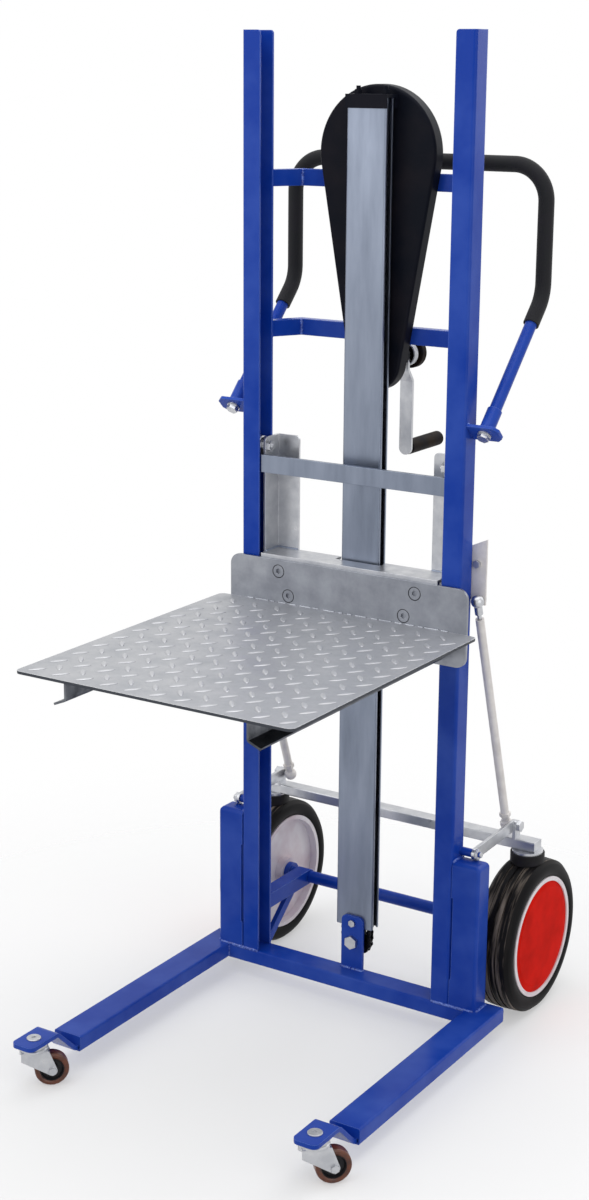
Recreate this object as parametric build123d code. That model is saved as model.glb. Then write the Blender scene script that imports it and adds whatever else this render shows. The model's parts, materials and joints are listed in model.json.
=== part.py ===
from build123d import *
import math
import os

os.makedirs("parts", exist_ok=True)

# Hand-cranked material lift. Sizes are in millimetres. X runs across the lift, Y from the load at
# the front (negative) to the operator, Z up from the floor. Y is measured from the masts' front
# faces, and save() moves everything so that the origin lies in the middle of the footprint.

# Clearances
FIT = 0.05
RUN_GAP = 0.3

# Masts: two channels, open towards each other
MAST_TOP = 1830.0
MAST_FLANGE = 38.0
MAST_DEPTH = 46.0
MAST_WALL = 4.0
MAST_BEND = 6.0
MAST_GAP = 392.0
MAST_IN = MAST_GAP / 2
MAST_OUT = MAST_IN + MAST_FLANGE

# Base frame: two legs joined by a cross tube
BASE_CLEAR = 31.0
BASE_HEIGHT = 30.0
BASE_WALL = 3.0
BASE_CORNER = 4.0
BASE_TOP = BASE_CLEAR + BASE_HEIGHT
CROSS_WIDTH = 50.0
CROSS_LEAD = 1.0
CROSS_BACK = CROSS_WIDTH - CROSS_LEAD
LEG_WIDTH = 60.0
LEG_LENGTH = 527.0
LEG_GAP = 532.0
LEG_IN = LEG_GAP / 2
LEG_FRONT = CROSS_BACK - LEG_LENGTH

# Mast feet: box posts welded beside the masts
FOOT_WIDTH = 56.0
FOOT_TOP = 350.0
FOOT_ROUND = 10.0
FOOT_GROOVE = 3.0
FOOT_GROOVE_Z = (115.0, 280.0)

# Caster plates: bent flats out of the leg ends
PLATE_THICK = 8.0
PLATE_WIDTH = 48.0
PLATE_TONGUE = 32.0
PLATE_STEP = 6.0
PLATE_REACH = 36.0
PLATE_BEND = 12.0
SWIVEL_OUT = 93.5

# Casters
CASTER_ANGLE = 45.7
CASTER_TRAIL = 30.0
CASTER_R = 31.0
CASTER_WIDTH = 24.0
CASTER_CORE_R = 22.0
CASTER_HUB_R = 9.0
CASTER_AXLE_R = 4.0
CORE_INSET = 2.0
HUB_PROUD = 1.5
FORK_GAP = 2.0
FORK_SHEET = 3.0
FORK_HEAD = 4.0
FORK_SKIRT = 16.0
RACE_R = 25.0
RACE_HEIGHT = 6.0
KINGPIN_R = 6.0
KINGPIN_HEAD_R = 13.0
KINGPIN_HEAD = 2.5
KINGPIN_SOCKET = 8.0
CROWN_GAP = 4.0
CASTER_TOP = 2 * CASTER_R + CROWN_GAP + FORK_HEAD + 2 * RACE_HEIGHT + RUN_GAP

# Wheels
WHEEL_R = 150.0
WHEEL_WIDTH = 80.0
WHEEL_Y = 200.0
WHEEL_IN = 251.0
WHEEL_X = WHEEL_IN + WHEEL_WIDTH / 2
TYRE_SEAT_R = 113.0
RIM_R = 118.0
RIM_SHEET = 3.5
RIM_INSET = 4.0
LIP = 2.5
SHOULDER_DROP = 8.0
SHOULDER_OUT = 1.0
TREAD_EDGE = 10.0
CROWN_DROP = 1.5
WALL_DROP = 4.0
GROOVE_WIDTH = 5.0
GROOVE_DEPTH = 2.5
GROOVES = (-14.0, 0.0, 14.0)
HUB_R = 28.0
HUB_END = 20.0
DISH_THICK = 5.0
CAP_THICK = 5.0
CAP_CROWN = 2.5
CAP_SLOPE = 12.0
AXLE_R = 12.5
COLLAR_R = 20.0
COLLAR_WIDTH = 11.0

# Axle arms and their stays
ARM_WIDTH = 30.0
ARM_IN = 200.0
ARM_WALL = 3.0
STAY_WIDTH = 10.0
STAY_DEPTH = 26.0
STAY_REACH = 90.0

# Roller chain drives
PITCH = 12.7
ROLLER_R = 4.3
TOOTH_TIP = 4.2
TOOTH_WIDTH = 7.0
TOOTH_FLARE = 1.6
ROOT_DEPTH = 3.4
ROOT_WIDTH = 2.6
CHAIN_HEIGHT = 11.0
CHAIN_SHEET = 1.5
CHAIN_INSIDE = TOOTH_WIDTH + 2 * RUN_GAP
LIFT_TEETH = 14
DRIVEN_TEETH = 50
CRANK_TEETH = 13
LIFT_R = PITCH / 2 / math.sin(math.pi / LIFT_TEETH)
DRIVEN_R = PITCH / 2 / math.sin(math.pi / DRIVEN_TEETH)
CRANK_R = PITCH / 2 / math.sin(math.pi / CRANK_TEETH)
LIFT_Z = 1620.0
TAIL_Z = 118.0
CRANK_Z = 1250.0
SHAFT_R = 10.0
TAIL_AXLE_R = 8.0
SPROCKET_HUB_R = 16.0
SPROCKET_HUB = 10.0

# Hoist column: two shallow channels with the chain between them
STRAND_COVER = 11.5
COLUMN_WIDTH = 2 * (LIFT_R + STRAND_COVER)
COLUMN_FRONT = 42.0
COLUMN_DEPTH = 29.0
COLUMN_LIP = 7.0
COLUMN_SHEET = 3.0
COLUMN_FOOT = 148.0
COLUMN_TOP = 1716.0
COLUMN_BACK = COLUMN_FRONT + COLUMN_DEPTH
COLUMN_CORNER = 4.0
LIFT_CHAIN_Y = COLUMN_FRONT + COLUMN_DEPTH / 2
SPACER_WIDTH = 28.0
SPACER_HEIGHT = 20.0
SPACERS = (300.0, 760.0, 1220.0, 1500.0)
CAP_STRAP = 6.0
CAP_LIP = 3.0
CAP_DROP = 18.0
CAP_OVER = 2.0
TENSION_X = 28.0
TENSION_STUD_R = 4.0
TENSION_STUD = 14.0

# Column foot bracket
BRACKET_WIDTH = 48.0
BRACKET_THICK = 6.0
BRACKET_TOP = 172.0
BRACKET_ROUND = 12.0
BRACKET_SCREW_Z = 157.0

# Drive case: drop-shaped pan on a back plate
CASE_FRONT = 80.0
CASE_DEPTH = 24.0
CASE_SHEET = 2.0
CASE_PLATE = 3.0
CASE_TOP_ROOM = 10.4
CASE_LOW_ROOM = 20.0
CASE_TOP_R = DRIVEN_R + CHAIN_HEIGHT / 2 + CASE_TOP_ROOM + CASE_SHEET
CASE_LOW_R = CRANK_R + CHAIN_HEIGHT / 2 + CASE_LOW_ROOM + CASE_SHEET
CASE_ROUND = 5.0
CASE_BACK = CASE_FRONT + CASE_DEPTH
PLATE_BACK = CASE_BACK + CASE_PLATE
DRIVE_CHAIN_Y = CASE_FRONT + CASE_DEPTH / 2

# Crank
CRANK_SHAFT_R = 9.0
CRANK_TUBE_R = 17.0
CRANK_TUBE = 79.0
CRANK_BAR = 6.0
CRANK_BAR_WIDTH = 26.0
CRANK_JOG = 17.0
CRANK_JOG_DROP = 22.0
CRANK_SHOULDER = 29.0
CRANK_RADIUS = 180.0
SPRING_R = 21.0
SPRING_WIRE_R = 2.0
SPRING_LENGTH = 19.0
SPRING_TURNS = 3
DISC_R = 29.0
DISC_WIDTH = 18.0
DISC_ROUND = 3.0
GRIP_R = 14.0
GRIP_LENGTH = 120.0
GRIP_PIN_R = 5.0
GRIP_COLLAR = 3.0
CRANK_END_GAP = 2.0
CRANK_HUB_Y = PLATE_BACK + CRANK_TUBE + CRANK_END_GAP
DISC_Y = CRANK_HUB_Y + CRANK_BAR + SPRING_LENGTH
CRANK_BAR_Y = CRANK_HUB_Y + CRANK_JOG
GRIP_Y = CRANK_BAR_Y + CRANK_BAR + GRIP_COLLAR
GRIP_Z = CRANK_Z - CRANK_RADIUS

# Braces behind the masts, bent round the drive case
BRACE_HEIGHT = 30.0
BRACE_DEPTH = 20.0
BRACE_WALL = 2.5
BRACE_END_X = 216.0
BRACE_KINK_X = 178.0
BRACES = (1297.0, 1571.0)

# Push handle
HANDLE_R = 11.0
HANDLE_WALL = 2.0
HANDLE_X = 264.0
HANDLE_FOOT_Y = 21.0
HANDLE_FOOT_Z = 1156.0
HANDLE_BACK = 228.0
HANDLE_KNEE = 1372.0
HANDLE_TOP = 1602.0
HANDLE_BEND = 64.0
FOAM_R = 14.5
FOAM_START = 48.0
SLEEVE_R = 13.5
SLEEVE_LENGTH = 45.0
FLANGE_THICK = 6.0
FLANGE_DEPTH = 38.0
FLANGE_CHAMFER = 9.0

# Wheel brake
BRAKE_PIVOT_Y = 36.0
BRAKE_PIVOT_Z = 362.0
BRAKE_STUB_R = 8.0
BRAKE_STUB = 24.7
BRAKE_PIN_R = 5.0
LINK_THICK = 6.0
LINK_WIDTH = 22.0
LINK_END_Y = 195.0
LINK_END_Z = 367.0
TAB_THICK = 6.0
BAR_DEPTH = 30.0
BAR_HEIGHT = 20.0
BAR_WALL = 2.5
BAR_LENGTH = 624.0
PAD_R = 33.0
PAD_THICK = 18.0
PAD_DISC_R = 30.0
PAD_DISC = 5.0

# Brake struts
BALL_R = 7.5
SOCKET_R = 12.0
STUD_R = 4.0
STUD_DOOR_R = 6.5
STRUT_LOW_X = 246.0
STRUT_TOP_X = 252.0
STRUT_TOP_Y = 33.0
STRUT_TOP_Z = 845.0
STRUT_R = 8.0
STRUT_ROD_R = 4.0
STRUT_BORE_R = 4.5
NECK_R = 7.5
NECK = 26.0
STRUT_SHOWN_ROD = 11.0
STRUT_ROD_INSIDE = 150.0
STRUT_PLATE = 4.0
STRUT_PLATE_RISE = 112.0
STRUT_PLATE_TOP = STRUT_TOP_Z + STRUT_PLATE_RISE
STRUT_PLATE_SLANT = 24.0
STRUT_PLATE_IN = 208.0
STRUT_PLATE_MARGIN = 9.0

# Carriage
ANGLE = 50.0
ANGLE_SHEET = 5.0
ANGLE_ROUND = 8.0
UPRIGHT_OUT = 194.0
UPRIGHT_FRONT = 12.0
UPRIGHT_LOW = 800.0
UPRIGHT_TOP = 1100.0
TOP_BAR_Z = (1035.0, 1068.0)
TOP_BAR_THICK = 8.0
BEAM_SHEET = 8.0
BEAM_FRONT = -3.0
BEAM_TOP = 882.0
BEAM_LEG = 5.0
BEAM_NOTCH_X = 48.0
BEAM_NOTCH_Y = 35.0
ROLLER_WHEEL_R = 18.5
ROLLER_WIDTH = 24.0
ROLLER_IN = 200.0
ROLLERS = (845.0, 1082.0)
ROLLER_AXLE_R = 6.0
ROLLER_HEAD_R = 9.0
ROLLER_HEAD = 2.0
ROLLER_CHAMFER = 1.5
AXLE_END = 3.0
CLAMP_REACH = 90.0
CLAMP_HEIGHT = 9.0
CLAMP_GAP = 0.7
CLAMP_SIDE = 1.0

# Deck
BACK_PLATE_WIDTH = 507.0
BACK_PLATE_Z = (729.0, 875.0)
BACK_PLATE_THICK = 6.0
BACK_PLATE_ROUND = 20.0
DECK_WIDTH = 552.0
DECK_LENGTH = 608.0
DECK_TOP = 792.5
DECK_SHEET = 5.0
DECK_ROUND = 12.0
RIB_X = 182.0
RIB_DEPTH = 36.0
RIB_FLARE_X = 24.0
RIB_FLARE_Z = 10.0
RIB_SHEET = 4.0
RIB_SETBACK = 17.0
DECK_BOLTS = ((146.0, 853.0), (124.0, 808.0))
BOLT_HEAD_R = 12.0
BOLT_R = 6.0
BOLT_SINK = 5.0
BOLT_SOCKET = 9.5
BOLT_SOCKET_DEEP = 4.0

# Hex hardware
HEX_AXLE = 24.0
HEX_LARGE = 19.0
HEX_SMALL = 13.0
HEX_HEIGHT = 8.0
HEX_THIN = 5.6
WASHER = 3.0

BACK_PLATE_FRONT = BEAM_FRONT - BACK_PLATE_THICK
DECK_FRONT = BACK_PLATE_FRONT - DECK_LENGTH
ORIGIN_SHIFT = -(DECK_FRONT + WHEEL_Y + WHEEL_R) / 2
RIGHT = (1, 0, 0)
BACK = (0, 1, 0)


def block(x, y, z):
    """Box from a low and a high value on each axis."""
    size = [high - low for low, high in (x, y, z)]
    return Pos(x[0], y[0], z[0]) * Box(*size, align=(Align.MIN, Align.MIN, Align.MIN))


def along_x(face, low, high):
    """Push a Y-Z outline from one X to another."""
    return extrude(Plane.YZ.offset(low) * face, high - low)


def along_y(face, low, high):
    """Push an X-Z outline from one Y to another."""
    return extrude(Plane.XZ.offset(-high) * face, high - low)


def along_z(face, low, high):
    """Push an X-Y outline from one Z to another."""
    return extrude(Plane.XY.offset(low) * face, high - low)


def rod(start, end, radius):
    """Round bar between two points."""
    run = Vector(*end) - Vector(*start)
    return extrude(Plane(origin=start, z_dir=run) * Circle(radius), run.length)


def hexagon(start, direction, across, height):
    """Hex head or nut that stands on a point."""
    plane = Plane(origin=start, z_dir=direction)
    return extrude(plane * RegularPolygon(across / 2, 6, major_radius=False), height)


def turned(profile, centre):
    """Body of revolution about an X axis from an (x, radius) outline."""
    return Pos(*centre) * revolve(profile, Axis.X)


def ring(low, high, inner, outer):
    """Rectangle in an (x, radius) outline."""
    return Pos(low, inner) * Rectangle(high - low, outer - inner, align=(Align.MIN, Align.MIN))


def drop(top_z, top_r, low_z, low_r):
    """Outline of a belt round two circles, one above the other."""
    circles = Pos(0, top_z) * Circle(top_r) + Pos(0, low_z) * Circle(low_r)
    return make_hull(circles.edges())


def both(piece):
    """A piece and its mirror image on the other side of the lift."""
    return [piece, mirror(piece, about=Plane.YZ)]


def save(node, *pieces):
    """Write one node, with the origin in the middle of the footprint."""
    solids = [solid for piece in pieces for solid in piece.solids()]
    shape = solids[0] if len(solids) == 1 else Compound(solids)
    export_step(Pos(0, ORIGIN_SHIFT, 0) * shape, f"parts/{node}.step")


def mast():
    """Right mast channel, with the flange tips rounded at the top."""
    size = (MAST_FLANGE, MAST_DEPTH)
    outer = Pos(MAST_IN, 0) * Rectangle(*size, align=(Align.MIN, Align.MIN))
    outer = fillet(outer.vertices().group_by(Axis.X)[-1], MAST_BEND)
    room = (MAST_FLANGE - MAST_WALL, MAST_DEPTH - 2 * MAST_WALL)
    inner = Pos(MAST_IN, MAST_WALL) * Rectangle(*room, align=(Align.MIN, Align.MIN))
    inner = fillet(inner.vertices().group_by(Axis.X)[-1], MAST_BEND - MAST_WALL)
    channel = along_z(outer - inner, BASE_TOP, MAST_TOP)
    tips = channel.edges().filter_by(Axis.Y).group_by(Axis.Z)[-1].group_by(Axis.X)[0]
    return fillet(tips, MAST_BEND)


def tube_y(x, y, z, wall, corner):
    """Rectangular tube along Y with an open front end and a closed back end."""
    width, height = x[1] - x[0], z[1] - z[0]
    middle = Pos((x[0] + x[1]) / 2, (z[0] + z[1]) / 2)
    outer = along_y(middle * RectangleRounded(width, height, corner), *y)
    bore = middle * RectangleRounded(width - 2 * wall, height - 2 * wall, corner - wall / 2)
    return outer - along_y(bore, y[0], y[1] - wall)


def base_frame():
    """Legs, closed in front above the caster plates, and the cross tube between them."""
    height = (BASE_CLEAR, BASE_TOP)
    leg_x = (LEG_IN, LEG_IN + LEG_WIDTH)
    leg = tube_y(leg_x, (LEG_FRONT, CROSS_BACK), height, BASE_WALL, BASE_CORNER)
    end_x = (leg_x[0] + BASE_WALL, leg_x[1] - BASE_WALL)
    end_z = (BASE_CLEAR + BASE_WALL + PLATE_THICK, BASE_TOP - BASE_WALL)
    leg += block(end_x, (LEG_FRONT, LEG_FRONT + BASE_WALL), end_z)
    middle = Pos(CROSS_BACK - CROSS_WIDTH / 2, BASE_CLEAR + BASE_HEIGHT / 2)
    outer = middle * RectangleRounded(CROSS_WIDTH, BASE_HEIGHT, BASE_CORNER)
    bore_size = (CROSS_WIDTH - 2 * BASE_WALL, BASE_HEIGHT - 2 * BASE_WALL)
    bore = middle * RectangleRounded(*bore_size, BASE_CORNER - BASE_WALL / 2)
    cross = along_x(outer - bore, -LEG_IN, LEG_IN)
    return [cross, *both(leg)]


def mast_foot():
    """Box post beside the mast, with a shadow groove along the seam."""
    x = (MAST_OUT, MAST_OUT + FOOT_WIDTH)
    post = block(x, (0, MAST_DEPTH), (BASE_TOP, FOOT_TOP))
    upright = post.edges().filter_by(Axis.Z).group_by(Axis.X)[-1]
    post = fillet(upright, MAST_BEND)
    rim = post.edges().filter_by(Axis.Y).group_by(Axis.Z)[-1].group_by(Axis.X)[-1]
    post = fillet(rim, FOOT_ROUND)
    room_x = (x[0] + MAST_WALL, x[1] - MAST_WALL)
    room_y = (MAST_WALL, MAST_DEPTH - MAST_WALL)
    post -= block(room_x, room_y, (BASE_TOP, FOOT_TOP - FOOT_ROUND))
    groove = block((MAST_OUT, MAST_OUT + FOOT_GROOVE), (0, 2 * FOOT_GROOVE), FOOT_GROOVE_Z)
    return post - groove


def swivel():
    """Place of the right caster's swivel axis."""
    return LEG_IN + LEG_WIDTH / 2, LEG_FRONT - SWIVEL_OUT


def caster_plate():
    """Bent flat: a tongue in the leg, a slope and a level plate over the caster."""
    x, y = swivel()
    low = BASE_CLEAR + BASE_WALL + PLATE_THICK / 2
    high = CASTER_TOP + PLATE_THICK / 2
    knee = LEG_FRONT - PLATE_STEP
    path = (
        (LEG_FRONT + PLATE_TONGUE, low),
        (knee, low),
        (knee - (high - low), high),
        (y - PLATE_REACH, high),
    )
    strip = trace(FilletPolyline(*path, radius=PLATE_BEND), PLATE_THICK)
    plate = along_x(strip, x - PLATE_WIDTH / 2, x + PLATE_WIDTH / 2)
    nose = plate.edges().filter_by(Axis.Z).group_by(Axis.Y)[0]
    plate = fillet(nose, PLATE_WIDTH / 4)
    return plate - rod((x, y, CASTER_TOP), (x, y, CASTER_TOP + PLATE_THICK), KINGPIN_R)


def caster_head():
    """Fixed half of the ball race on its kingpin, with a flat socket head on the plate."""
    x, y = swivel()
    race_low = CASTER_TOP - RACE_HEIGHT
    plate_top = CASTER_TOP + PLATE_THICK
    race = rod((x, y, race_low), (x, y, CASTER_TOP), RACE_R)
    race = chamfer(race.edges().group_by(Axis.Z)[0], RACE_HEIGHT / 3)
    pin_low = race_low - RUN_GAP - RACE_HEIGHT - FORK_HEAD
    pin = rod((x, y, pin_low), (x, y, plate_top), KINGPIN_R)
    head_top = plate_top + KINGPIN_HEAD
    head = rod((x, y, plate_top), (x, y, head_top), KINGPIN_HEAD_R)
    head = chamfer(head.edges().group_by(Axis.Z)[-1], KINGPIN_HEAD / 3)
    return race + pin + head - hexagon((x, y, head_top), (0, 0, -1), KINGPIN_SOCKET, KINGPIN_HEAD)


def caster_place(x, y):
    """Where a caster stands: its swivel axis, turned to its trailing direction."""
    return Pos(x, y, 0) * Rot(0, 0, CASTER_ANGLE)


def caster_fork():
    """Pressed fork with its half of the race, trailing along +X from the swivel axis."""
    inside = CASTER_WIDTH / 2 + FORK_GAP
    outside = inside + FORK_SHEET
    head_top = CASTER_TOP - RACE_HEIGHT - RUN_GAP - RACE_HEIGHT
    boss = Pos(CASTER_TRAIL, CASTER_R) * Circle(CASTER_HUB_R)
    crown = Pos(0, head_top - FORK_SKIRT / 2) * Rectangle(2 * RACE_R, FORK_SKIRT)
    cheek = along_y(make_hull((boss + crown).edges()), -outside, outside)
    between = block((-RACE_R, CASTER_TRAIL + RACE_R), (-inside, inside), (0, head_top - FORK_HEAD))
    race = rod((0, 0, head_top), (0, 0, head_top + RACE_HEIGHT), RACE_R)
    race = chamfer(race.edges().group_by(Axis.Z)[-1], RACE_HEIGHT / 3)
    hole = rod((0, 0, head_top - FORK_HEAD), (0, 0, CASTER_TOP), KINGPIN_R + FIT)
    bolt_end = (CASTER_TRAIL, -outside, CASTER_R)
    nut_end = (CASTER_TRAIL, outside, CASTER_R)
    bolt_hole = rod(bolt_end, nut_end, CASTER_AXLE_R)
    bolt = rod(bolt_end, nut_end, CASTER_AXLE_R)
    bolt += hexagon(bolt_end, (0, -1, 0), HEX_SMALL, CASTER_AXLE_R)
    bolt += hexagon(nut_end, BACK, HEX_SMALL, CASTER_AXLE_R)
    return [cheek - between - bolt_hole + race - hole, bolt]


def caster_wheel():
    """Moulded core with a cast tread round it."""
    half = CASTER_WIDTH / 2
    tread = ring(-half, half, CASTER_CORE_R, CASTER_R)
    tread = fillet(tread.vertices().group_by(Axis.Y)[-1], half / 3)
    core = ring(CORE_INSET - half, half - CORE_INSET, CASTER_HUB_R, CASTER_CORE_R)
    core += ring(-half - HUB_PROUD, half + HUB_PROUD, CASTER_AXLE_R + FIT, CASTER_HUB_R)
    upright = Pos(CASTER_TRAIL, 0, CASTER_R) * Rot(0, 0, 90)
    return [upright * revolve(outline, Axis.X) for outline in (tread, core)]


def tyre_outline():
    """Section of the tyre: seat, bulged sidewalls, shoulders and a crowned, grooved tread."""
    half = WHEEL_WIDTH / 2
    bead = half - RIM_INSET
    wall_r = (RIM_R + WHEEL_R) / 2 - WALL_DROP
    shoulder = (bead + SHOULDER_OUT, WHEEL_R - SHOULDER_DROP)
    tread = half - TREAD_EDGE
    crown_r = WHEEL_R - CROWN_DROP
    right = (
        Line((bead, TYRE_SEAT_R), (bead, RIM_R)),
        ThreePointArc((bead, RIM_R), (half, wall_r), shoulder),
        Line(shoulder, (tread, crown_r)),
    )
    seat = Line((-bead, TYRE_SEAT_R), (bead, TYRE_SEAT_R))
    crown = ThreePointArc((tread, crown_r), (0, WHEEL_R), (-tread, crown_r))
    left = [mirror(edge, about=Plane.YZ) for edge in right]
    section = make_face([seat, crown, *right, *left])
    for place in GROOVES:
        low = place - GROOVE_WIDTH / 2
        section -= ring(low, low + GROOVE_WIDTH, WHEEL_R - GROOVE_DEPTH, WHEEL_R + GROOVE_DEPTH)
    return section


def rim_outline():
    """Section of the rim: barrel with two lips, dish and hub."""
    half = WHEEL_WIDTH / 2 - RIM_INSET
    barrel = ring(-half, half, TYRE_SEAT_R - RIM_SHEET, TYRE_SEAT_R)
    lips = ring(half, half + LIP, TYRE_SEAT_R - RIM_SHEET, RIM_R)
    lips += ring(-half - LIP, -half, TYRE_SEAT_R - RIM_SHEET, RIM_R)
    dish = ring(-half / 2 - DISH_THICK, -half / 2, HUB_R, TYRE_SEAT_R - RIM_SHEET)
    hub = ring(-half - LIP, HUB_END, AXLE_R + FIT, HUB_R)
    return barrel + lips + dish + hub


def cap_outline():
    """Section of the crowned disc that closes the rim's outer face."""
    face = WHEEL_WIDTH / 2 - RIM_INSET
    radius = TYRE_SEAT_R - RIM_SHEET - FIT
    low = face - CAP_THICK
    edge = face + LIP - CAP_CROWN
    crown = edge + CAP_CROWN
    corners = ((low, 0), (low, radius), (edge, radius), (crown, radius - CAP_SLOPE), (crown, 0))
    return make_face(Polyline(*corners, close=True))


def wheel_axle():
    """Through axle with a collar inside each wheel."""
    end = WHEEL_X + HUB_END
    hub_in = WHEEL_X - WHEEL_WIDTH / 2 + RIM_INSET - LIP
    axle = rod((-end, WHEEL_Y, WHEEL_R), (end, WHEEL_Y, WHEEL_R), AXLE_R)
    inner = hub_in - RUN_GAP - COLLAR_WIDTH
    for side in (-1, 1):
        start = (side * inner, WHEEL_Y, WHEEL_R)
        axle += rod(start, (side * (inner + COLLAR_WIDTH), WHEEL_Y, WHEEL_R), COLLAR_R)
    return axle


def axle_arm():
    """Tube from the mast back to the axle, with a sloping stay down to the cross tube."""
    z = (WHEEL_R - ARM_WIDTH / 2, WHEEL_R + ARM_WIDTH / 2)
    x = (ARM_IN, ARM_IN + ARM_WIDTH)
    arm = block(x, (MAST_DEPTH, WHEEL_Y), z)
    arm += rod((x[0], WHEEL_Y, WHEEL_R), (x[1], WHEEL_Y, WHEEL_R), ARM_WIDTH / 2)
    hollow = [(x[0] + ARM_WALL, x[1] - ARM_WALL), (MAST_DEPTH, WHEEL_Y - ARM_WIDTH / 2)]
    arm -= block(*hollow, (z[0] + ARM_WALL, z[1] - ARM_WALL))
    arm -= rod((x[0], WHEEL_Y, WHEEL_R), (x[1], WHEEL_Y, WHEEL_R), AXLE_R)
    low = BASE_TOP - BASE_CORNER
    foot = CROSS_BACK + STAY_REACH
    corners = (
        (CROSS_BACK, low - STAY_DEPTH + BASE_CORNER),
        (CROSS_BACK, low),
        (foot, z[0]),
        (foot + STAY_DEPTH, z[0]),
    )
    stay_in = ARM_IN + (ARM_WIDTH - STAY_WIDTH) / 2
    stay = along_x(make_face(Polyline(*corners, close=True)), stay_in, stay_in + STAY_WIDTH)
    return [arm, stay]


def column_channel(front):
    """One shallow channel of the hoist column, lips towards the chain."""
    half = COLUMN_WIDTH / 2
    near = COLUMN_FRONT if front else COLUMN_BACK - COLUMN_LIP
    depth = (near, near + COLUMN_LIP)
    skin = 0 if front else -1
    channel = block((-half, half), depth, (COLUMN_FOOT, COLUMN_TOP))
    channel = fillet(channel.edges().filter_by(Axis.Z).group_by(Axis.Y)[skin], COLUMN_CORNER)
    shift = COLUMN_SHEET if front else -COLUMN_SHEET
    room = (depth[0] + shift, depth[1] + shift)
    inside = half - COLUMN_SHEET
    return channel - block((-inside, inside), room, (COLUMN_FOOT, COLUMN_TOP))


def column():
    """Hoist column: both channels and the spacers that hold them apart."""
    shaft = rod((0, COLUMN_FRONT + COLUMN_LIP, LIFT_Z), (0, COLUMN_BACK, LIFT_Z), SHAFT_R + FIT)
    pieces = [column_channel(True), column_channel(False) - shaft]
    inside = (COLUMN_FRONT + COLUMN_SHEET, COLUMN_BACK - COLUMN_SHEET)
    half = SPACER_WIDTH / 2
    for place in SPACERS:
        pieces.append(block((-half, half), inside, (place, place + SPACER_HEIGHT)))
    return pieces


def top_bracket():
    """Strap over the column's top, back to the drive case."""
    half = COLUMN_WIDTH / 2 + CAP_OVER
    low = COLUMN_TOP - CAP_DROP
    front = COLUMN_FRONT - CAP_LIP
    strap = block((-half, half), (front, CASE_FRONT), (COLUMN_TOP, COLUMN_TOP + CAP_STRAP))
    strap += block((-half, half), (front, COLUMN_FRONT), (low, COLUMN_TOP))
    strap += block((-half, half), (COLUMN_BACK, CASE_FRONT), (low, COLUMN_TOP))
    return strap


def foot_bracket():
    """Plate on the cross tube that holds the column's foot and the tail sprocket."""
    half = BRACKET_WIDTH / 2
    y = (COLUMN_FRONT - BRACKET_THICK, COLUMN_FRONT)
    plate = block((-half, half), y, (BASE_TOP, BRACKET_TOP))
    corners = plate.edges().filter_by(Axis.Y).group_by(Axis.Z)[-1]
    plate = fillet(corners, BRACKET_ROUND)
    return plate - rod((0, y[0], TAIL_Z), (0, y[1], TAIL_Z), TAIL_AXLE_R)


def sprocket(teeth, radius, centre_z, centre_y, bore_r):
    """Toothed plate with a hub, on an axis along Y."""
    tip = radius + TOOTH_TIP
    cut = tip + TOOTH_FLARE
    root = radius - ROOT_DEPTH
    gap = (
        (cut, -ROLLER_R - TOOTH_FLARE),
        (radius, -ROLLER_R),
        (root, -ROOT_WIDTH),
        (root, ROOT_WIDTH),
        (radius, ROLLER_R),
        (cut, ROLLER_R + TOOTH_FLARE),
    )
    gap = make_face(Polyline(*gap, close=True))
    gaps = [Rot(0, 0, 90 + 360 * tooth / teeth) * gap for tooth in range(teeth)]
    plate = Circle(tip) - gaps
    middle = Pos(0, centre_z)
    half = SPROCKET_HUB / 2
    plate = along_y(middle * plate, centre_y - TOOTH_WIDTH / 2, centre_y + TOOTH_WIDTH / 2)
    plate += along_y(middle * Circle(SPROCKET_HUB_R), centre_y - half, centre_y + half)
    return plate - along_y(middle * Circle(bore_r), centre_y - half, centre_y + half)


def chain_loop(top, low, centre_y):
    """Side plates of a roller chain as two loops; top and low give height and pitch radius."""
    half = CHAIN_HEIGHT / 2
    outer = drop(top[0], top[1] + half, low[0], low[1] + half)
    inner = drop(top[0], top[1] - half, low[0], low[1] - half)
    near = centre_y - CHAIN_INSIDE / 2 - CHAIN_SHEET
    far = centre_y + CHAIN_INSIDE / 2
    return [along_y(outer - inner, start, start + CHAIN_SHEET) for start in (near, far)]


def drive_case():
    """Drop-shaped pan with rounded front edges, open to the back."""
    outer = drop(LIFT_Z, CASE_TOP_R, CRANK_Z, CASE_LOW_R)
    inner = drop(LIFT_Z, CASE_TOP_R - CASE_SHEET, CRANK_Z, CASE_LOW_R - CASE_SHEET)
    pan = along_y(outer, CASE_FRONT, CASE_BACK)
    pan = fillet(pan.edges().group_by(Axis.Y)[0], CASE_ROUND)
    room = along_y(inner, CASE_FRONT + CASE_SHEET, CASE_BACK)
    pan -= fillet(room.edges().group_by(Axis.Y)[0], CASE_ROUND - CASE_SHEET)
    return pan - rod((0, CASE_FRONT, LIFT_Z), (0, CASE_BACK, LIFT_Z), SHAFT_R + RUN_GAP)


def case_plate():
    """Back plate of the drive case with the crank's bearing tube."""
    plate = along_y(drop(LIFT_Z, CASE_TOP_R, CRANK_Z, CASE_LOW_R), CASE_BACK, PLATE_BACK)
    tube_end = PLATE_BACK + CRANK_TUBE
    plate += rod((0, PLATE_BACK, CRANK_Z), (0, tube_end, CRANK_Z), CRANK_TUBE_R)
    plate -= rod((0, CASE_BACK, CRANK_Z), (0, tube_end, CRANK_Z), CRANK_SHAFT_R + FIT)
    return plate - rod((0, CASE_BACK, LIFT_Z), (0, PLATE_BACK, LIFT_Z), SHAFT_R + FIT)


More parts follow.
